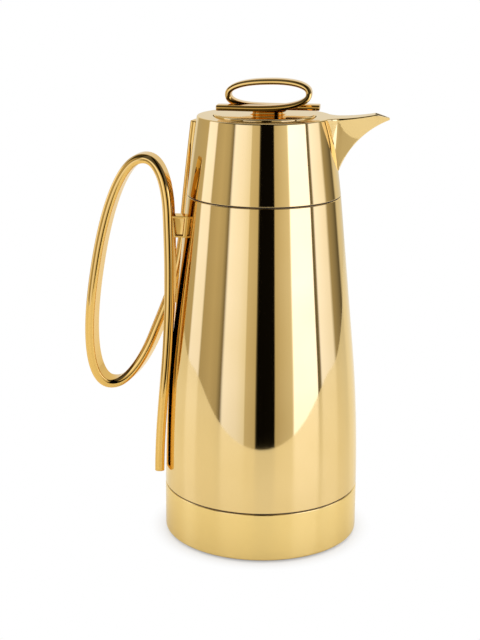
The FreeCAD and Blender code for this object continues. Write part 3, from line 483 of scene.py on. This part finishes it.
def ribbonMesh(name, points, sides, look, material):
    along, at = smoothLine(points)
    work = bpy.data.meshes.new(name + "Path")
    places = []
    wides = []
    for step in range(look["steps"] + 1):
        spot, heading, index, share = at(along[-1] * step / look["steps"])
        across = sides[index] * (1 - share) + sides[index + 1] * share
        wide = (across - heading * across.dot(heading)).normalized()
        places.append(spot * mm)
        wides.extend(wide)
    work.from_pydata(places, [(step, step + 1) for step in range(look["steps"])], [])
    work.attributes.new("wide", "FLOAT_VECTOR", "POINT").data.foreach_set("vector", wides)
    carrier = addObject(name + "Path", work)
    modifier = carrier.modifiers.new("ribbon", "NODES")
    modifier.node_group = ribbonTree(material)
    inputs = {item.name: item.identifier for item in modifier.node_group.interface.items_tree}
    section = bpy.data.objects.new(name + "Section", bandSection(name + "Section", look))
    modifier[inputs["Section"]] = section
    soften = carrier.modifiers.new("ends", "BEVEL")
    soften.width = look["endBevel"] * mm
    soften.segments = band["endSteps"]
    soften.limit_method = "ANGLE"
    soften.angle_limit = math.radians(band["endAngle"])
    mesh = takeMesh(carrier, name)
    bpy.data.objects.remove(section)
    return mesh


def blunted(value, blunt):
    return math.copysign(abs(value) ** (2 / blunt), value)


def loopPoints(reach, crossing, halfLong, halfWide, aside, blunt, flat=0.0, steps=40):
    # a blunt oval, left where its tangent runs to the crossing; flat holds its far side level in depth
    def spotAt(turn):
        return blunted(math.sin(turn), blunt) * halfLong, reach + blunted(math.cos(turn), blunt) * halfWide

    margin = 0.02
    nudge = 1e-5
    halvings = 40
    near, far = math.pi / 2 + margin, math.pi - margin
    for halving in range(halvings):
        turn = (near + far) / 2
        (along, out), (alongNext, outNext) = spotAt(turn), spotAt(turn + nudge)
        if (outNext - out) * along - (alongNext - along) * (out - crossing) < 0:
            near = turn
        else:
            far = turn
    points = []
    for step in range(steps + 1):
        share = 1 - 2 * step / steps
        along, out = spotAt(near * share)
        depth = math.sin(math.pi / 2 * share) - flat * math.sin(math.pi * share)
        points.append((along, out, -aside * depth))
    return points


handle = {
    "thickness": 6.2, "width": 13.6, "crown": 4.3, "rounding": 0.8, "endBevel": 0.7, "steps": 420,
    "middle": 173.8, "loopRise": 0.4, "halfHeight": 79.4, "halfWidth": 24.4, "reach": 87.57, "lean": 0.173,
    "bow": 2.0, "blunt": 2.15, "flat": 0.2, "crossingPlay": 1.1, "tailAngle": 17.3, "tailPlay": 0.35,
    "tailTwist": 11.0, "tailTouch": 120.0, "tailLow": 44.6, "tailLift": 1.2, "tailHigh": 275.4,
}
halfBand = handle["thickness"] / 2
tailAngle = math.radians(handle["tailAngle"])
tailTwist = math.radians(handle["tailTwist"])
crossingRadius = potRadius(handle["middle"])
crossingSide = crossingRadius * math.sin(tailAngle)
crossingInner = crossingSide - handle["width"] / 2
crossingReach = math.sqrt(crossingRadius ** 2 - crossingInner ** 2) + handle["crossingPlay"] + halfBand


def tailPoint(height, lift, side):
    out = potRadius(height) + handle["tailPlay"] + lift + halfBand
    return Vector((-out * math.cos(tailAngle), side * out * math.sin(tailAngle), height))


def tailSide(side):
    return Vector((side * math.sin(tailTwist), math.cos(tailTwist), 0))


tailRest = (handle["middle"] + handle["tailHigh"]) / 2
tailHalf = (handle["tailLow"] + handle["tailTouch"]) / 2
handlePoints = [
    tailPoint(handle["tailLow"], handle["tailLift"], -1), tailPoint(tailHalf, handle["tailLift"] / 2, -1),
    tailPoint(handle["tailTouch"], 0, -1)]
handleSides = [tailSide(-1)] * 3
loop = loopPoints(
    handle["reach"], crossingReach, handle["halfHeight"], handle["halfWidth"], crossingSide, handle["blunt"],
    handle["flat"])
loop = [(0, crossingReach, -crossingSide)] + loop + [(0, crossingReach, crossingSide)]
for place, (up, out, aside) in enumerate(loop):
    twist = tailTwist * place / (len(loop) - 1)
    bow = handle["bow"] * (up / handle["halfHeight"]) ** 2
    rise = handle["loopRise"] * abs(up / handle["halfHeight"])
    handlePoints.append(Vector((handle["lean"] * up - bow - out, aside, handle["middle"] + up + rise)))
    handleSides.append(Vector((math.sin(twist), math.cos(twist), 0)))
for height in (tailRest, (tailRest + handle["tailHigh"]) / 2, handle["tailHigh"]):
    handlePoints.append(tailPoint(height, 0, 1))
    handleSides.append(tailSide(1))
handleMesh = ribbonMesh("ribbonHandle", handlePoints, handleSides, handle, finishes["gold_handle"])
addPiece("ribbonHandle", handleMesh, "handle_loop")
print("handle swept:", len(handleMesh.polygons), "faces")

knob = {
    "thickness": 3.7, "width": 10.0, "crown": 3.0, "rounding": 1.1, "endBevel": 0.7, "steps": 260,
    "shift": 2.4, "base": 284.4, "halfLength": 26.2, "halfHeight": 8.1, "lean": 0.04, "rise": 8.39,
    "tail": 32.6, "flatShare": 0.55, "side": 5.3, "blunt": 2.35,
}
knobCentre = knob["base"] + knob["thickness"] / 2
knobFlat = [
    Vector((knob["shift"] - reach, -knob["side"], knobCentre))
    for reach in (knob["tail"], knob["tail"] * knob["flatShare"])]
knobPoints = list(knobFlat)
for along, out, aside in loopPoints(
        knob["rise"], 0, knob["halfLength"], knob["halfHeight"], knob["side"], knob["blunt"]):
    knobPoints.append(Vector((knob["shift"] + along, aside, knobCentre + out + knob["lean"] * along)))
for spot in reversed(knobFlat):
    knobPoints.append(Vector((2 * knob["shift"] - spot.x, knob["side"], knobCentre)))
knobSides = [Vector((0, 1, 0))] * len(knobPoints)
knobMesh = ribbonMesh("ribbonKnob", knobPoints, knobSides, knob, finishes["gold_handle"])
addPiece("ribbonKnob", knobMesh, "knob_loop")
print("knob swept:", len(knobMesh.polygons), "faces")

# the upper lug: a keystone block with a framed face
lug = {
    "front": 21.56, "back": 11.56, "wallSink": 0.25, "low": 204.0, "high": 218.0, "outHigh": -57.3,
    "outLow": -56.0, "frame": 1.25, "recess": 2.0, "draft": 0.35, "slope": 1.1, "wallSlope": 1.65,
    "edge": 0.3, "edgeSteps": 4, "sharp": 50,
}


def shellFace(height, depth):
    return lug["wallSink"] - math.sqrt(potRadius(height) ** 2 - depth ** 2)


def lugFace(inset, depth):
    out, wall = inset * lug["slope"], inset * lug["wallSlope"]
    low, high = lug["low"] + inset, lug["high"] - inset
    return [
        (lug["outLow"] + out, low), (shellFace(low, depth) - wall, low),
        (shellFace(high, depth) - wall, high), (lug["outHigh"] + out, high)]


lugWork = bmesh.new()
lugRings = []
for inset, face, depth in (
        (0, lug["back"], lug["back"]), (0, lug["front"], lug["front"]),
        (lug["frame"], lug["front"], lug["front"]),
        (lug["frame"] + lug["draft"], lug["front"], lug["front"] - lug["recess"])):
    corners = lugFace(inset, face)
    lugRings.append([lugWork.verts.new((across * mm, -depth * mm, up * mm)) for across, up in corners])
for first, second in zip(lugRings, lugRings[1:]):
    bridge(lugWork, first, second)
lugWork.faces.new(lugRings[-1])
lugWork.faces.new(lugRings[0])
lugEdges = [edge for edge in lugWork.edges if not all(vert in lugRings[0] for vert in edge.verts)]
bmesh.ops.bevel(
    lugWork, geom=lugEdges, offset=lug["edge"] * mm, segments=lug["edgeSteps"], profile=0.5, affect="EDGES",
    clamp_overlap=True)
addPiece("keystoneLug", meshFrom(lugWork, "keystoneLug"), "upper_lug", lug["sharp"])
print("lug framed")

# pedestal: a waisted neck under the knob
pedestal = {
    "middle": 2.4, "halfLong": 11.4, "halfWide": 9.5, "low": 282.2, "high": 284.4, "waist": 0.86,
    "blunt": 5.0, "curve": 3, "rows": 16, "around": 96,
}
pedestalWork = bmesh.new()
pedestalRings = []
for row in range(pedestal["rows"] + 1):
    share = row / pedestal["rows"]
    swell = pedestal["waist"] + (1 - pedestal["waist"]) * abs(2 * share - 1) ** pedestal["curve"]
    ring = []
    for step in range(pedestal["around"]):
        angle = 2 * math.pi * step / pedestal["around"]
        across = pedestal["halfLong"] * swell * blunted(math.cos(angle), pedestal["blunt"])
        ring.append(pedestalWork.verts.new((
            (pedestal["middle"] + across) * mm,
            pedestal["halfWide"] * swell * blunted(math.sin(angle), pedestal["blunt"]) * mm,
            (pedestal["low"] + (pedestal["high"] - pedestal["low"]) * share) * mm)))
    pedestalRings.append(ring)
for first, second in zip(pedestalRings, pedestalRings[1:]):
    bridge(pedestalWork, first, second)
pedestalWork.faces.new(pedestalRings[0])
pedestalWork.faces.new(pedestalRings[-1])
addPiece("waistedPedestal", meshFrom(pedestalWork, "waistedPedestal"), "knob_pedestal")
print("pedestal waisted")

# spout: a covered beak drawn out of the collar
spout = {
    "reach": 79.6, "drop": 35.0, "keelRadius": 55.0, "rootHalf": 14.5, "flare": 8.5, "throatHalf": 8.9,
    "lipHalf": 5.6, "tipHalf": 2.2, "lip": 9.0, "lipDrop": 1.2, "rise": 2.6, "wall": 1.3, "round": 0.7,
    "keelShare": 0.27, "keelDepth": 0.35, "hollow": 0.025, "sink": 0.3, "leastHalf": 0.2, "rootNear": 30.0,
    "rows": 40, "columns": 36, "lipColumns": 16, "roofColumns": 10, "halvings": 30, "sharp": 35,
}
spoutTop = pot["rimHeight"]
lipStart = spout["reach"] - spout["lip"]
keelRoot = Vector((potRadius(spoutTop - spout["drop"]), spoutTop - spout["drop"]))
keelTip = Vector((spout["reach"], spoutTop - spout["lipDrop"]))
keelChord = keelTip - keelRoot
keelAside = Vector((keelChord.y, -keelChord.x)).normalized()
keelDepth = math.sqrt(spout["keelRadius"] ** 2 - (keelChord.length / 2) ** 2)
keelCentre = (keelRoot + keelTip) / 2 + keelAside * keelDepth


def keelHeight(across):
    if across < keelRoot.x:
        return keelRoot.y - (keelRoot.x - across)
    reach = min(across, spout["reach"]) - keelCentre.x
    return keelCentre.y + math.sqrt(spout["keelRadius"] ** 2 - reach ** 2)


def crestHeight(across):
    share = min(max(across - pot["rimRadius"], 0) / (lipStart - pot["rimRadius"]), 1)
    return spoutTop + spout["rise"] * share ** 2


def halfWidth(across):
    root = math.sqrt(pot["rimRadius"] ** 2 - spout["rootHalf"] ** 2)
    flareEnd = root + spout["flare"]
    if across <= flareEnd:
        flare = (flareEnd - across) / (flareEnd - root)
        return spout["throatHalf"] + (spout["rootHalf"] - spout["throatHalf"]) * flare ** 2
    if across <= lipStart:
        share = (across - flareEnd) / (lipStart - flareEnd)
        return spout["throatHalf"] + (spout["lipHalf"] - spout["throatHalf"]) * share
    beak = (min(across, spout["reach"]) - lipStart) / spout["lip"]
    return spout["lipHalf"] + (spout["tipHalf"] - spout["lipHalf"]) * beak ** 2


def sideReach(height, low, half, top, rounding):
    # half the section's width at a height: round keel, hollow flank, rounded top corner
    keel = spout["keelShare"] * half
    keelRise = spout["keelDepth"] * keel
    if height <= low + keelRise:
        radius = (keel ** 2 + keelRise ** 2) / (2 * keelRise)
        return math.sqrt(max(radius ** 2 - (radius - (height - low)) ** 2, 0))
    if height <= top - rounding:
        start = Vector((keel, low + keelRise))
        end = Vector((half, top - rounding))
        chord = end - start
        sag = spout["hollow"] * (top - low)
        middle = Vector(((start.x + end.x) / 2 - sag, (start.y + end.y) / 2))
        ways = np.array([[2 * chord.x, 2 * chord.y], [2 * (middle - start).x, 2 * (middle - start).y]])
        sums = [end.length_squared - start.length_squared, middle.length_squared - start.length_squared]
        centreX, centreY = np.linalg.solve(ways, sums)
        radius = math.hypot(start.x - centreX, start.y - centreY)
        return centreX - math.sqrt(radius ** 2 - (height - centreY) ** 2)
    return half - rounding + math.sqrt(max(rounding ** 2 - (height - top + rounding) ** 2, 0))


def mouthHeight(across):
    share = (across - lipStart) / spout["lip"]
    return crestHeight(lipStart) + (keelTip.y + spout["wall"] - crestHeight(lipStart)) * share


def spoutSpot(across, share, inner, covered):
    wall = spout["wall"] if inner else 0
    rounding = spout["round"] / 2 if inner else spout["round"]
    low = keelHeight(across) + wall
    top = crestHeight(across) - (wall if covered else -wall)
    edge = top if covered else min(mouthHeight(across), top)
    height = low + max(edge - low, 0) * (1 - math.cos(math.pi * share)) / 2
    half = max(halfWidth(across) - wall, spout["leastHalf"])
    return Vector((across, sideReach(height, low, half, top, rounding), height))


def rootAcross(share, inner):
    # where this line of the spout meets the collar
    near, far = spout["rootNear"], lipStart
    for halving in range(spout["halvings"]):
        across = (near + far) / 2
        spot = spoutSpot(across, share, inner, True)
        if math.hypot(spot.x, spot.y) < potRadius(min(spot.z, spoutTop)) - spout["sink"]:
            near = across
        else:
            far = across
    return far


def spoutSide(inner):
    lines = []
    for row in range(spout["rows"] + 1):
        share = row / spout["rows"]
        start = rootAcross(share, inner)
        line = [spoutSpot(start + (lipStart - start) * step / spout["columns"], share, inner, True)
                for step in range(spout["columns"] + 1)]
        line += [spoutSpot(lipStart + spout["lip"] * step / spout["lipColumns"], share, inner, False)
                 for step in range(spout["lipColumns"] + 1)]
        lines.append(line)
    return lines


def mirrored(spot):
    return Vector((spot.x, -spot.y, spot.z))


spoutWork = bmesh.new()


def spoutGrid(*rows):
    verts = [[spoutWork.verts.new(spot * mm) for spot in row] for row in rows]
    for first, second in zip(verts, verts[1:]):
        for step in range(len(first) - 1):
            spoutWork.faces.new((first[step], first[step + 1], second[step + 1], second[step]))


outerSide = spoutSide(False)
innerSide = spoutSide(True)
roofEnd = spout["columns"]
leftSides = outerSide, innerSide
rightSides = [[[mirrored(spot) for spot in line] for line in lines] for lines in leftSides]
for outer, inner in (leftSides, rightSides):
    spoutGrid(*outer)
    spoutGrid(*inner)
    spoutGrid(outer[-1][roofEnd + 1:], inner[-1][roofEnd + 1:])
    spoutGrid([line[0] for line in outer], [line[0] for line in inner])
    spoutGrid([line[-1] for line in outer], [line[-1] for line in inner])
    roofCorner = (outer[-1][roofEnd], inner[-1][roofEnd], inner[-1][roofEnd + 1])
    spoutWork.faces.new([spoutWork.verts.new(spot * mm) for spot in roofCorner])


def roofRows(edge):
    shares = [1 - 2 * step / spout["roofColumns"] for step in range(spout["roofColumns"] + 1)]
    return [[Vector((spot.x, spot.y * share, spot.z)) for share in shares] for spot in edge[:roofEnd + 1]]


outerRoof = roofRows(outerSide[-1])
innerRoof = roofRows(innerSide[-1])
spoutGrid(*outerRoof)
spoutGrid(*innerRoof)
spoutGrid(outerRoof[0], innerRoof[0])
spoutGrid(outerRoof[-1], innerRoof[-1])
spoutMesh = meshFrom(spoutWork, "beakSpout")
addPiece("beakSpout", spoutMesh, "spout", spout["sharp"])
print("spout drawn:", len(spoutMesh.polygons), "faces")

# the felt discs under the inner flask, three round the axis
felt = {"radius": 4.0, "pitch": 14.0, "count": 3, "low": 16.5, "high": 20.0, "around": 48, "rows": 3}


def feltTree(material):
    tree, inside = newTree("feltDiscs", (
        ("Start", "Geometry"), ("Radius", "Float"), ("Pitch", "Float"), ("Depth", "Float"),
        ("Count", "Int")), "Discs")
    circle = tree.nodes.new("GeometryNodeMeshCircle")
    disc = tree.nodes.new("GeometryNodeMeshCylinder")
    disc.inputs["Vertices"].default_value = felt["around"]
    disc.inputs["Side Segments"].default_value = felt["rows"]
    scatter = tree.nodes.new("GeometryNodeInstanceOnPoints")
    joinAll(tree, (
        (inside.outputs["Count"], circle.inputs["Vertices"]),
        (inside.outputs["Pitch"], circle.inputs["Radius"]),
        (inside.outputs["Radius"], disc.inputs["Radius"]), (inside.outputs["Depth"], disc.inputs["Depth"]),
        (circle.outputs["Mesh"], scatter.inputs["Points"]),
        (disc.outputs["Mesh"], scatter.inputs["Instance"])))
    return endTree(tree, scatter.outputs["Instances"], material)


feltCarrier = addObject("feltCarrier", bpy.data.meshes.new("feltCarrier"))
feltModifier = feltCarrier.modifiers.new("felt", "NODES")
feltModifier.node_group = feltTree(finishes["spacer_felt"])
feltInputs = {item.name: item.identifier for item in feltModifier.node_group.interface.items_tree}
for label, size in (
        ("Radius", felt["radius"] * mm), ("Pitch", felt["pitch"] * mm),
        ("Depth", (felt["high"] - felt["low"]) * mm), ("Count", felt["count"])):
    feltModifier[feltInputs[label]] = size
feltMesh = takeMesh(feltCarrier, "feltDiscs")
feltMesh.transform(Matrix.Translation((0, 0, (felt["low"] + felt["high"]) / 2 * mm)))
addPiece("feltDiscs", feltMesh, "flask_spacers")
print("felt discs set:", felt["count"])

# the other pieces keep their CAD form, merged for smooth shading
cadForm = {"merge": 2e-6, "sharp": 32}
others = sorted(set(nodes) - made)
for name in others:
    work = bmesh.new()
    work.from_mesh(nodes[name].data)
    bmesh.ops.remove_doubles(work, verts=work.verts, dist=cadForm["merge"])
    first, *rest = name.split("_")
    label = first + "".join(word.capitalize() for word in rest)
    mesh = bpy.data.meshes.new(label)
    work.to_mesh(mesh)
    work.free()
    addPiece(label, mesh, name, cadForm["sharp"])
print("inner pieces finished:", len(others))

# studio: a pale table inside a ring of cards, seen in reflections
studio = {
    "tableWide": 0.75, "tableDeep": 0.345, "tableBack": 1.2, "tableTurn": 6.2, "tableDrop": 0.0002,
    "tableSteps": 96, "tableGrain": 900, "tableDetail": 3, "tableDark": (0.885, 0.885, 0.88),
    "tablePale": (0.9, 0.9, 0.895), "tableRough": 0.3, "whiteFrom": 0.05, "whiteTo": 0.078,
    "wallRadius": 1.1, "wallLow": -0.9, "wallHigh": 0.95, "wallSteps": 180, "turn": 11.0,
    "dimFrom": 0.43, "dimTo": 0.53, "dim": 0.9, "frontFrom": 0.45, "frontTo": -0.2,
    "lowFrom": 0.2, "lowTo": -0.15, "low": 0.17, "brightest": 4.0,
    "ambient": 0.74, "topPower": 11.8, "topSize": 1.3, "topHeight": 1.6,
}
# bearing in degrees from the front before the turn, and strength
cards = [
    (-180, 0.82), (-152, 0.82), (-148, 0.5), (-108, 0.55), (-106, 1.2), (-88, 1.15), (-86, 0.5), (-70, 0.58),
    (-60, 0.5), (-54.5, 0.2), (-51.5, 1.2), (-35, 1.1), (-25, 0.98), (-24, 0.7), (-11.6, 0.62),
    (-11.2, 0.003), (10.2, 0.004), (10.8, 0.6), (32, 0.8), (33.5, 1.8), (65, 1.75), (66, 0.15), (70, 0.2),
    (72, 1.25), (94, 1.1), (99, 0.42), (112, 0.28), (121, 0.12), (127, 0.8), (147, 0.82), (180, 0.82),
]
# bright cards are cool and dim ones warm, by these shares of green and blue
cardTint = {
    "plain": 0.9, "coolGain": 2.2, "coolMost": 1.2, "coolGreen": 0.15, "warmGain": 3.0, "warmGreen": 0.1,
    "warmBlue": 0.3,
}


def cardColour(strength):
    over = min(max(strength - cardTint["plain"], 0) * cardTint["coolGain"], cardTint["coolMost"])
    under = min(max(cardTint["plain"] - strength, 0) * cardTint["warmGain"], 1) * strength
    green = strength + cardTint["coolGreen"] * over - cardTint["warmGreen"] * under
    blue = strength + over - cardTint["warmBlue"] * under
    return [part / studio["brightest"] for part in (strength, green, blue)] + [1]


wallWork = bmesh.new()
wallRings = []
for height in (studio["wallLow"], studio["wallHigh"]):
    ring = []
    for step in range(studio["wallSteps"]):
        angle = 2 * math.pi * step / studio["wallSteps"]
        ring.append(wallWork.verts.new((
            studio["wallRadius"] * math.cos(angle), studio["wallRadius"] * math.sin(angle), height)))
    wallRings.append(ring)
bridge(wallWork, *wallRings)
wallWork.faces.new(wallRings[1])
wallMesh = bpy.data.meshes.new("studioWall")
wallWork.to_mesh(wallMesh)
wallWork.free()
wall = addObject("studioWall", wallMesh)
wall.visible_camera = False
wall.visible_diffuse = False
wall.visible_shadow = False
wallFinish = bpy.data.materials.new("studioCards")
wallFinish.use_nodes = True
wallTree = wallFinish.node_tree
wallTree.nodes.clear()
wallPlace = wallTree.nodes.new("ShaderNodeTexCoord")
wallTurn = wallTree.nodes.new("ShaderNodeMapping")
wallTurn.inputs["Rotation"].default_value = (0, 0, -math.radians(studio["turn"]))
wallSplit = wallTree.nodes.new("ShaderNodeSeparateXYZ")
wallFlip = mathNode(wallTree, "MULTIPLY")
wallFlip.inputs[1].default_value = -1
wallAngle = mathNode(wallTree, "ARCTAN2")
wallRange = rangeNode(wallTree, -math.pi, math.pi)
wallRamp = wallTree.nodes.new("ShaderNodeValToRGB")
cardStops = wallRamp.color_ramp.elements
while len(cardStops) < len(cards):
    cardStops.new(0.5)
for stop, (bearing, strength) in zip(cardStops, cards):
    stop.position = (bearing + 180) / 360
for stop, (bearing, strength) in zip(cardStops, cards):
    stop.color = cardColour(strength)
wallGlow = wallTree.nodes.new("ShaderNodeEmission")
wallOut = wallTree.nodes.new("ShaderNodeOutputMaterial")
# the upper front of the studio is dark, and the lower wall a little dimmer
wallUp = rangeNode(wallTree, studio["dimFrom"], studio["dimTo"])
wallFront = rangeNode(wallTree, studio["frontFrom"], studio["frontTo"])
wallDim = mathNode(wallTree, "MULTIPLY")
wallLow = rangeNode(wallTree, studio["lowFrom"], studio["lowTo"], 0, studio["low"])
wallShade = mathNode(wallTree, "MAXIMUM")
wallLevel = rangeNode(wallTree, 0, 1, studio["brightest"], studio["brightest"] * (1 - studio["dim"]))
joinAll(wallTree, (
    (wallPlace.outputs["Object"], wallTurn.inputs["Vector"]),
    (wallTurn.outputs["Vector"], wallSplit.inputs["Vector"]), (wallSplit.outputs["Y"], wallFlip.inputs[0]),
    (wallSplit.outputs["X"], wallAngle.inputs[0]), (wallFlip.outputs[0], wallAngle.inputs[1]),
    (wallAngle.outputs[0], wallRange.inputs["Value"]), (wallRange.outputs["Result"], wallRamp.inputs["Fac"]),
    (wallRamp.outputs["Color"], wallGlow.inputs["Color"]), (wallSplit.outputs["Z"], wallUp.inputs["Value"]),
    (wallSplit.outputs["Y"], wallFront.inputs["Value"]), (wallUp.outputs["Result"], wallDim.inputs[0]),
    (wallFront.outputs["Result"], wallDim.inputs[1]), (wallSplit.outputs["Z"], wallLow.inputs["Value"]),
    (wallDim.outputs[0], wallShade.inputs[0]), (wallLow.outputs["Result"], wallShade.inputs[1]),
    (wallShade.outputs[0], wallLevel.inputs["Value"]),
    (wallLevel.outputs["Result"], wallGlow.inputs["Strength"]),
    (wallGlow.outputs["Emission"], wallOut.inputs["Surface"])))
wallMesh.materials.append(wallFinish)

# the table has a rounded front edge and straight sides
tableSpots = []
for step in range(studio["tableSteps"] + 1):
    angle = math.pi * (1 + step / studio["tableSteps"])
    tableSpots.append((math.cos(angle) * studio["tableWide"], math.sin(angle) * studio["tableDeep"]))
tableSpots += [(studio["tableWide"], studio["tableBack"]), (-studio["tableWide"], studio["tableBack"])]
floorWork = bmesh.new()
floorWork.faces.new([floorWork.verts.new((*spot, -studio["tableDrop"])) for spot in tableSpots])
tableTurn = Matrix.Rotation(math.radians(studio["tableTurn"]), 3, "Z")
bmesh.ops.rotate(floorWork, verts=floorWork.verts, cent=(0, 0, 0), matrix=tableTurn)
floorMesh = bpy.data.meshes.new("paleTable")
floorWork.to_mesh(floorMesh)
floorWork.free()
floor = addObject("paleTable", floorMesh)
floorFinish, floorTree, floorShader, floorPlace = newMaterial("paleTable")
floorGrain = noise(floorTree, floorPlace, studio["tableGrain"], studio["tableDetail"])
floorTone = tones(floorTree, floorGrain, studio["tableDark"], studio["tablePale"])
floorShader.inputs["Roughness"].default_value = studio["tableRough"]
# past the shadow the camera sees it white
floorSpan = floorTree.nodes.new("ShaderNodeVectorMath")
floorSpan.operation = "LENGTH"
floorFade = rangeNode(floorTree, studio["whiteFrom"], studio["whiteTo"])
floorFade.interpolation_type = "SMOOTHSTEP"
floorRay = floorTree.nodes.new("ShaderNodeLightPath")
floorSeen = mathNode(floorTree, "MULTIPLY")
floorWhite = floorTree.nodes.new("ShaderNodeEmission")
floorMix = floorTree.nodes.new("ShaderNodeMixShader")
joinAll(floorTree, (
    (floorTone, floorShader.inputs["Base Color"]), (floorPlace, floorSpan.inputs[0]),
    (floorSpan.outputs["Value"], floorFade.inputs["Value"]),
    (floorFade.outputs["Result"], floorSeen.inputs[0]),
    (floorRay.outputs["Is Camera Ray"], floorSeen.inputs[1]), (floorSeen.outputs[0], floorMix.inputs["Fac"]),
    (floorShader.outputs["BSDF"], floorMix.inputs[1]), (floorWhite.outputs["Emission"], floorMix.inputs[2]),
    (floorMix.outputs["Shader"], floorTree.nodes["Material Output"].inputs["Surface"])))
floorMesh.materials.append(floorFinish)

world = bpy.data.worlds.new("studio")
bpy.context.scene.world = world
world.use_nodes = True
worldTree = world.node_tree
sky = worldTree.nodes["Background"]
sky.inputs["Color"].default_value = (1, 1, 1, 1)
ray = worldTree.nodes.new("ShaderNodeLightPath")
seen = mathNode(worldTree, "MAXIMUM")
seenThrough = mathNode(worldTree, "MAXIMUM")
level = rangeNode(worldTree, 0, 1, studio["ambient"], 1)
joinAll(worldTree, (
    (ray.outputs["Is Camera Ray"], seen.inputs[0]), (ray.outputs["Is Glossy Ray"], seen.inputs[1]),
    (seen.outputs[0], seenThrough.inputs[0]), (ray.outputs["Is Transmission Ray"], seenThrough.inputs[1]),
    (seenThrough.outputs[0], level.inputs["Value"]), (level.outputs["Result"], sky.inputs["Strength"])))

topLamp = bpy.data.lights.new("topSoftbox", "AREA")
topLamp.shape = "SQUARE"
topLamp.size = studio["topSize"]
topLamp.energy = studio["topPower"]
topLight = addObject("topSoftbox", topLamp)
topLight.location = (0, 0, studio["topHeight"])
topLight.visible_camera = False
topLight.visible_glossy = False
print("studio lit")

view = {
    "place": (0.0970, -0.8926, 0.3922), "turn": 7.155, "tilt": 74.618, "roll": 0.367, "lens": 78.75,
    "sensor": 36,
}
cameraData = bpy.data.cameras.new("photoView")
cameraData.lens = view["lens"]
cameraData.sensor_width = view["sensor"]
camera = addObject("photoView", cameraData)
cameraPlace = Matrix.Translation(view["place"])
for angle, axis in ((view["turn"], "Z"), (view["tilt"], "X"), (view["roll"], "Z")):
    cameraPlace = cameraPlace @ Matrix.Rotation(math.radians(angle), 4, axis)
camera.matrix_world = cameraPlace
bpy.context.scene.camera = camera
bpy.context.scene.view_settings.view_transform = "Standard"

print("camera placed")
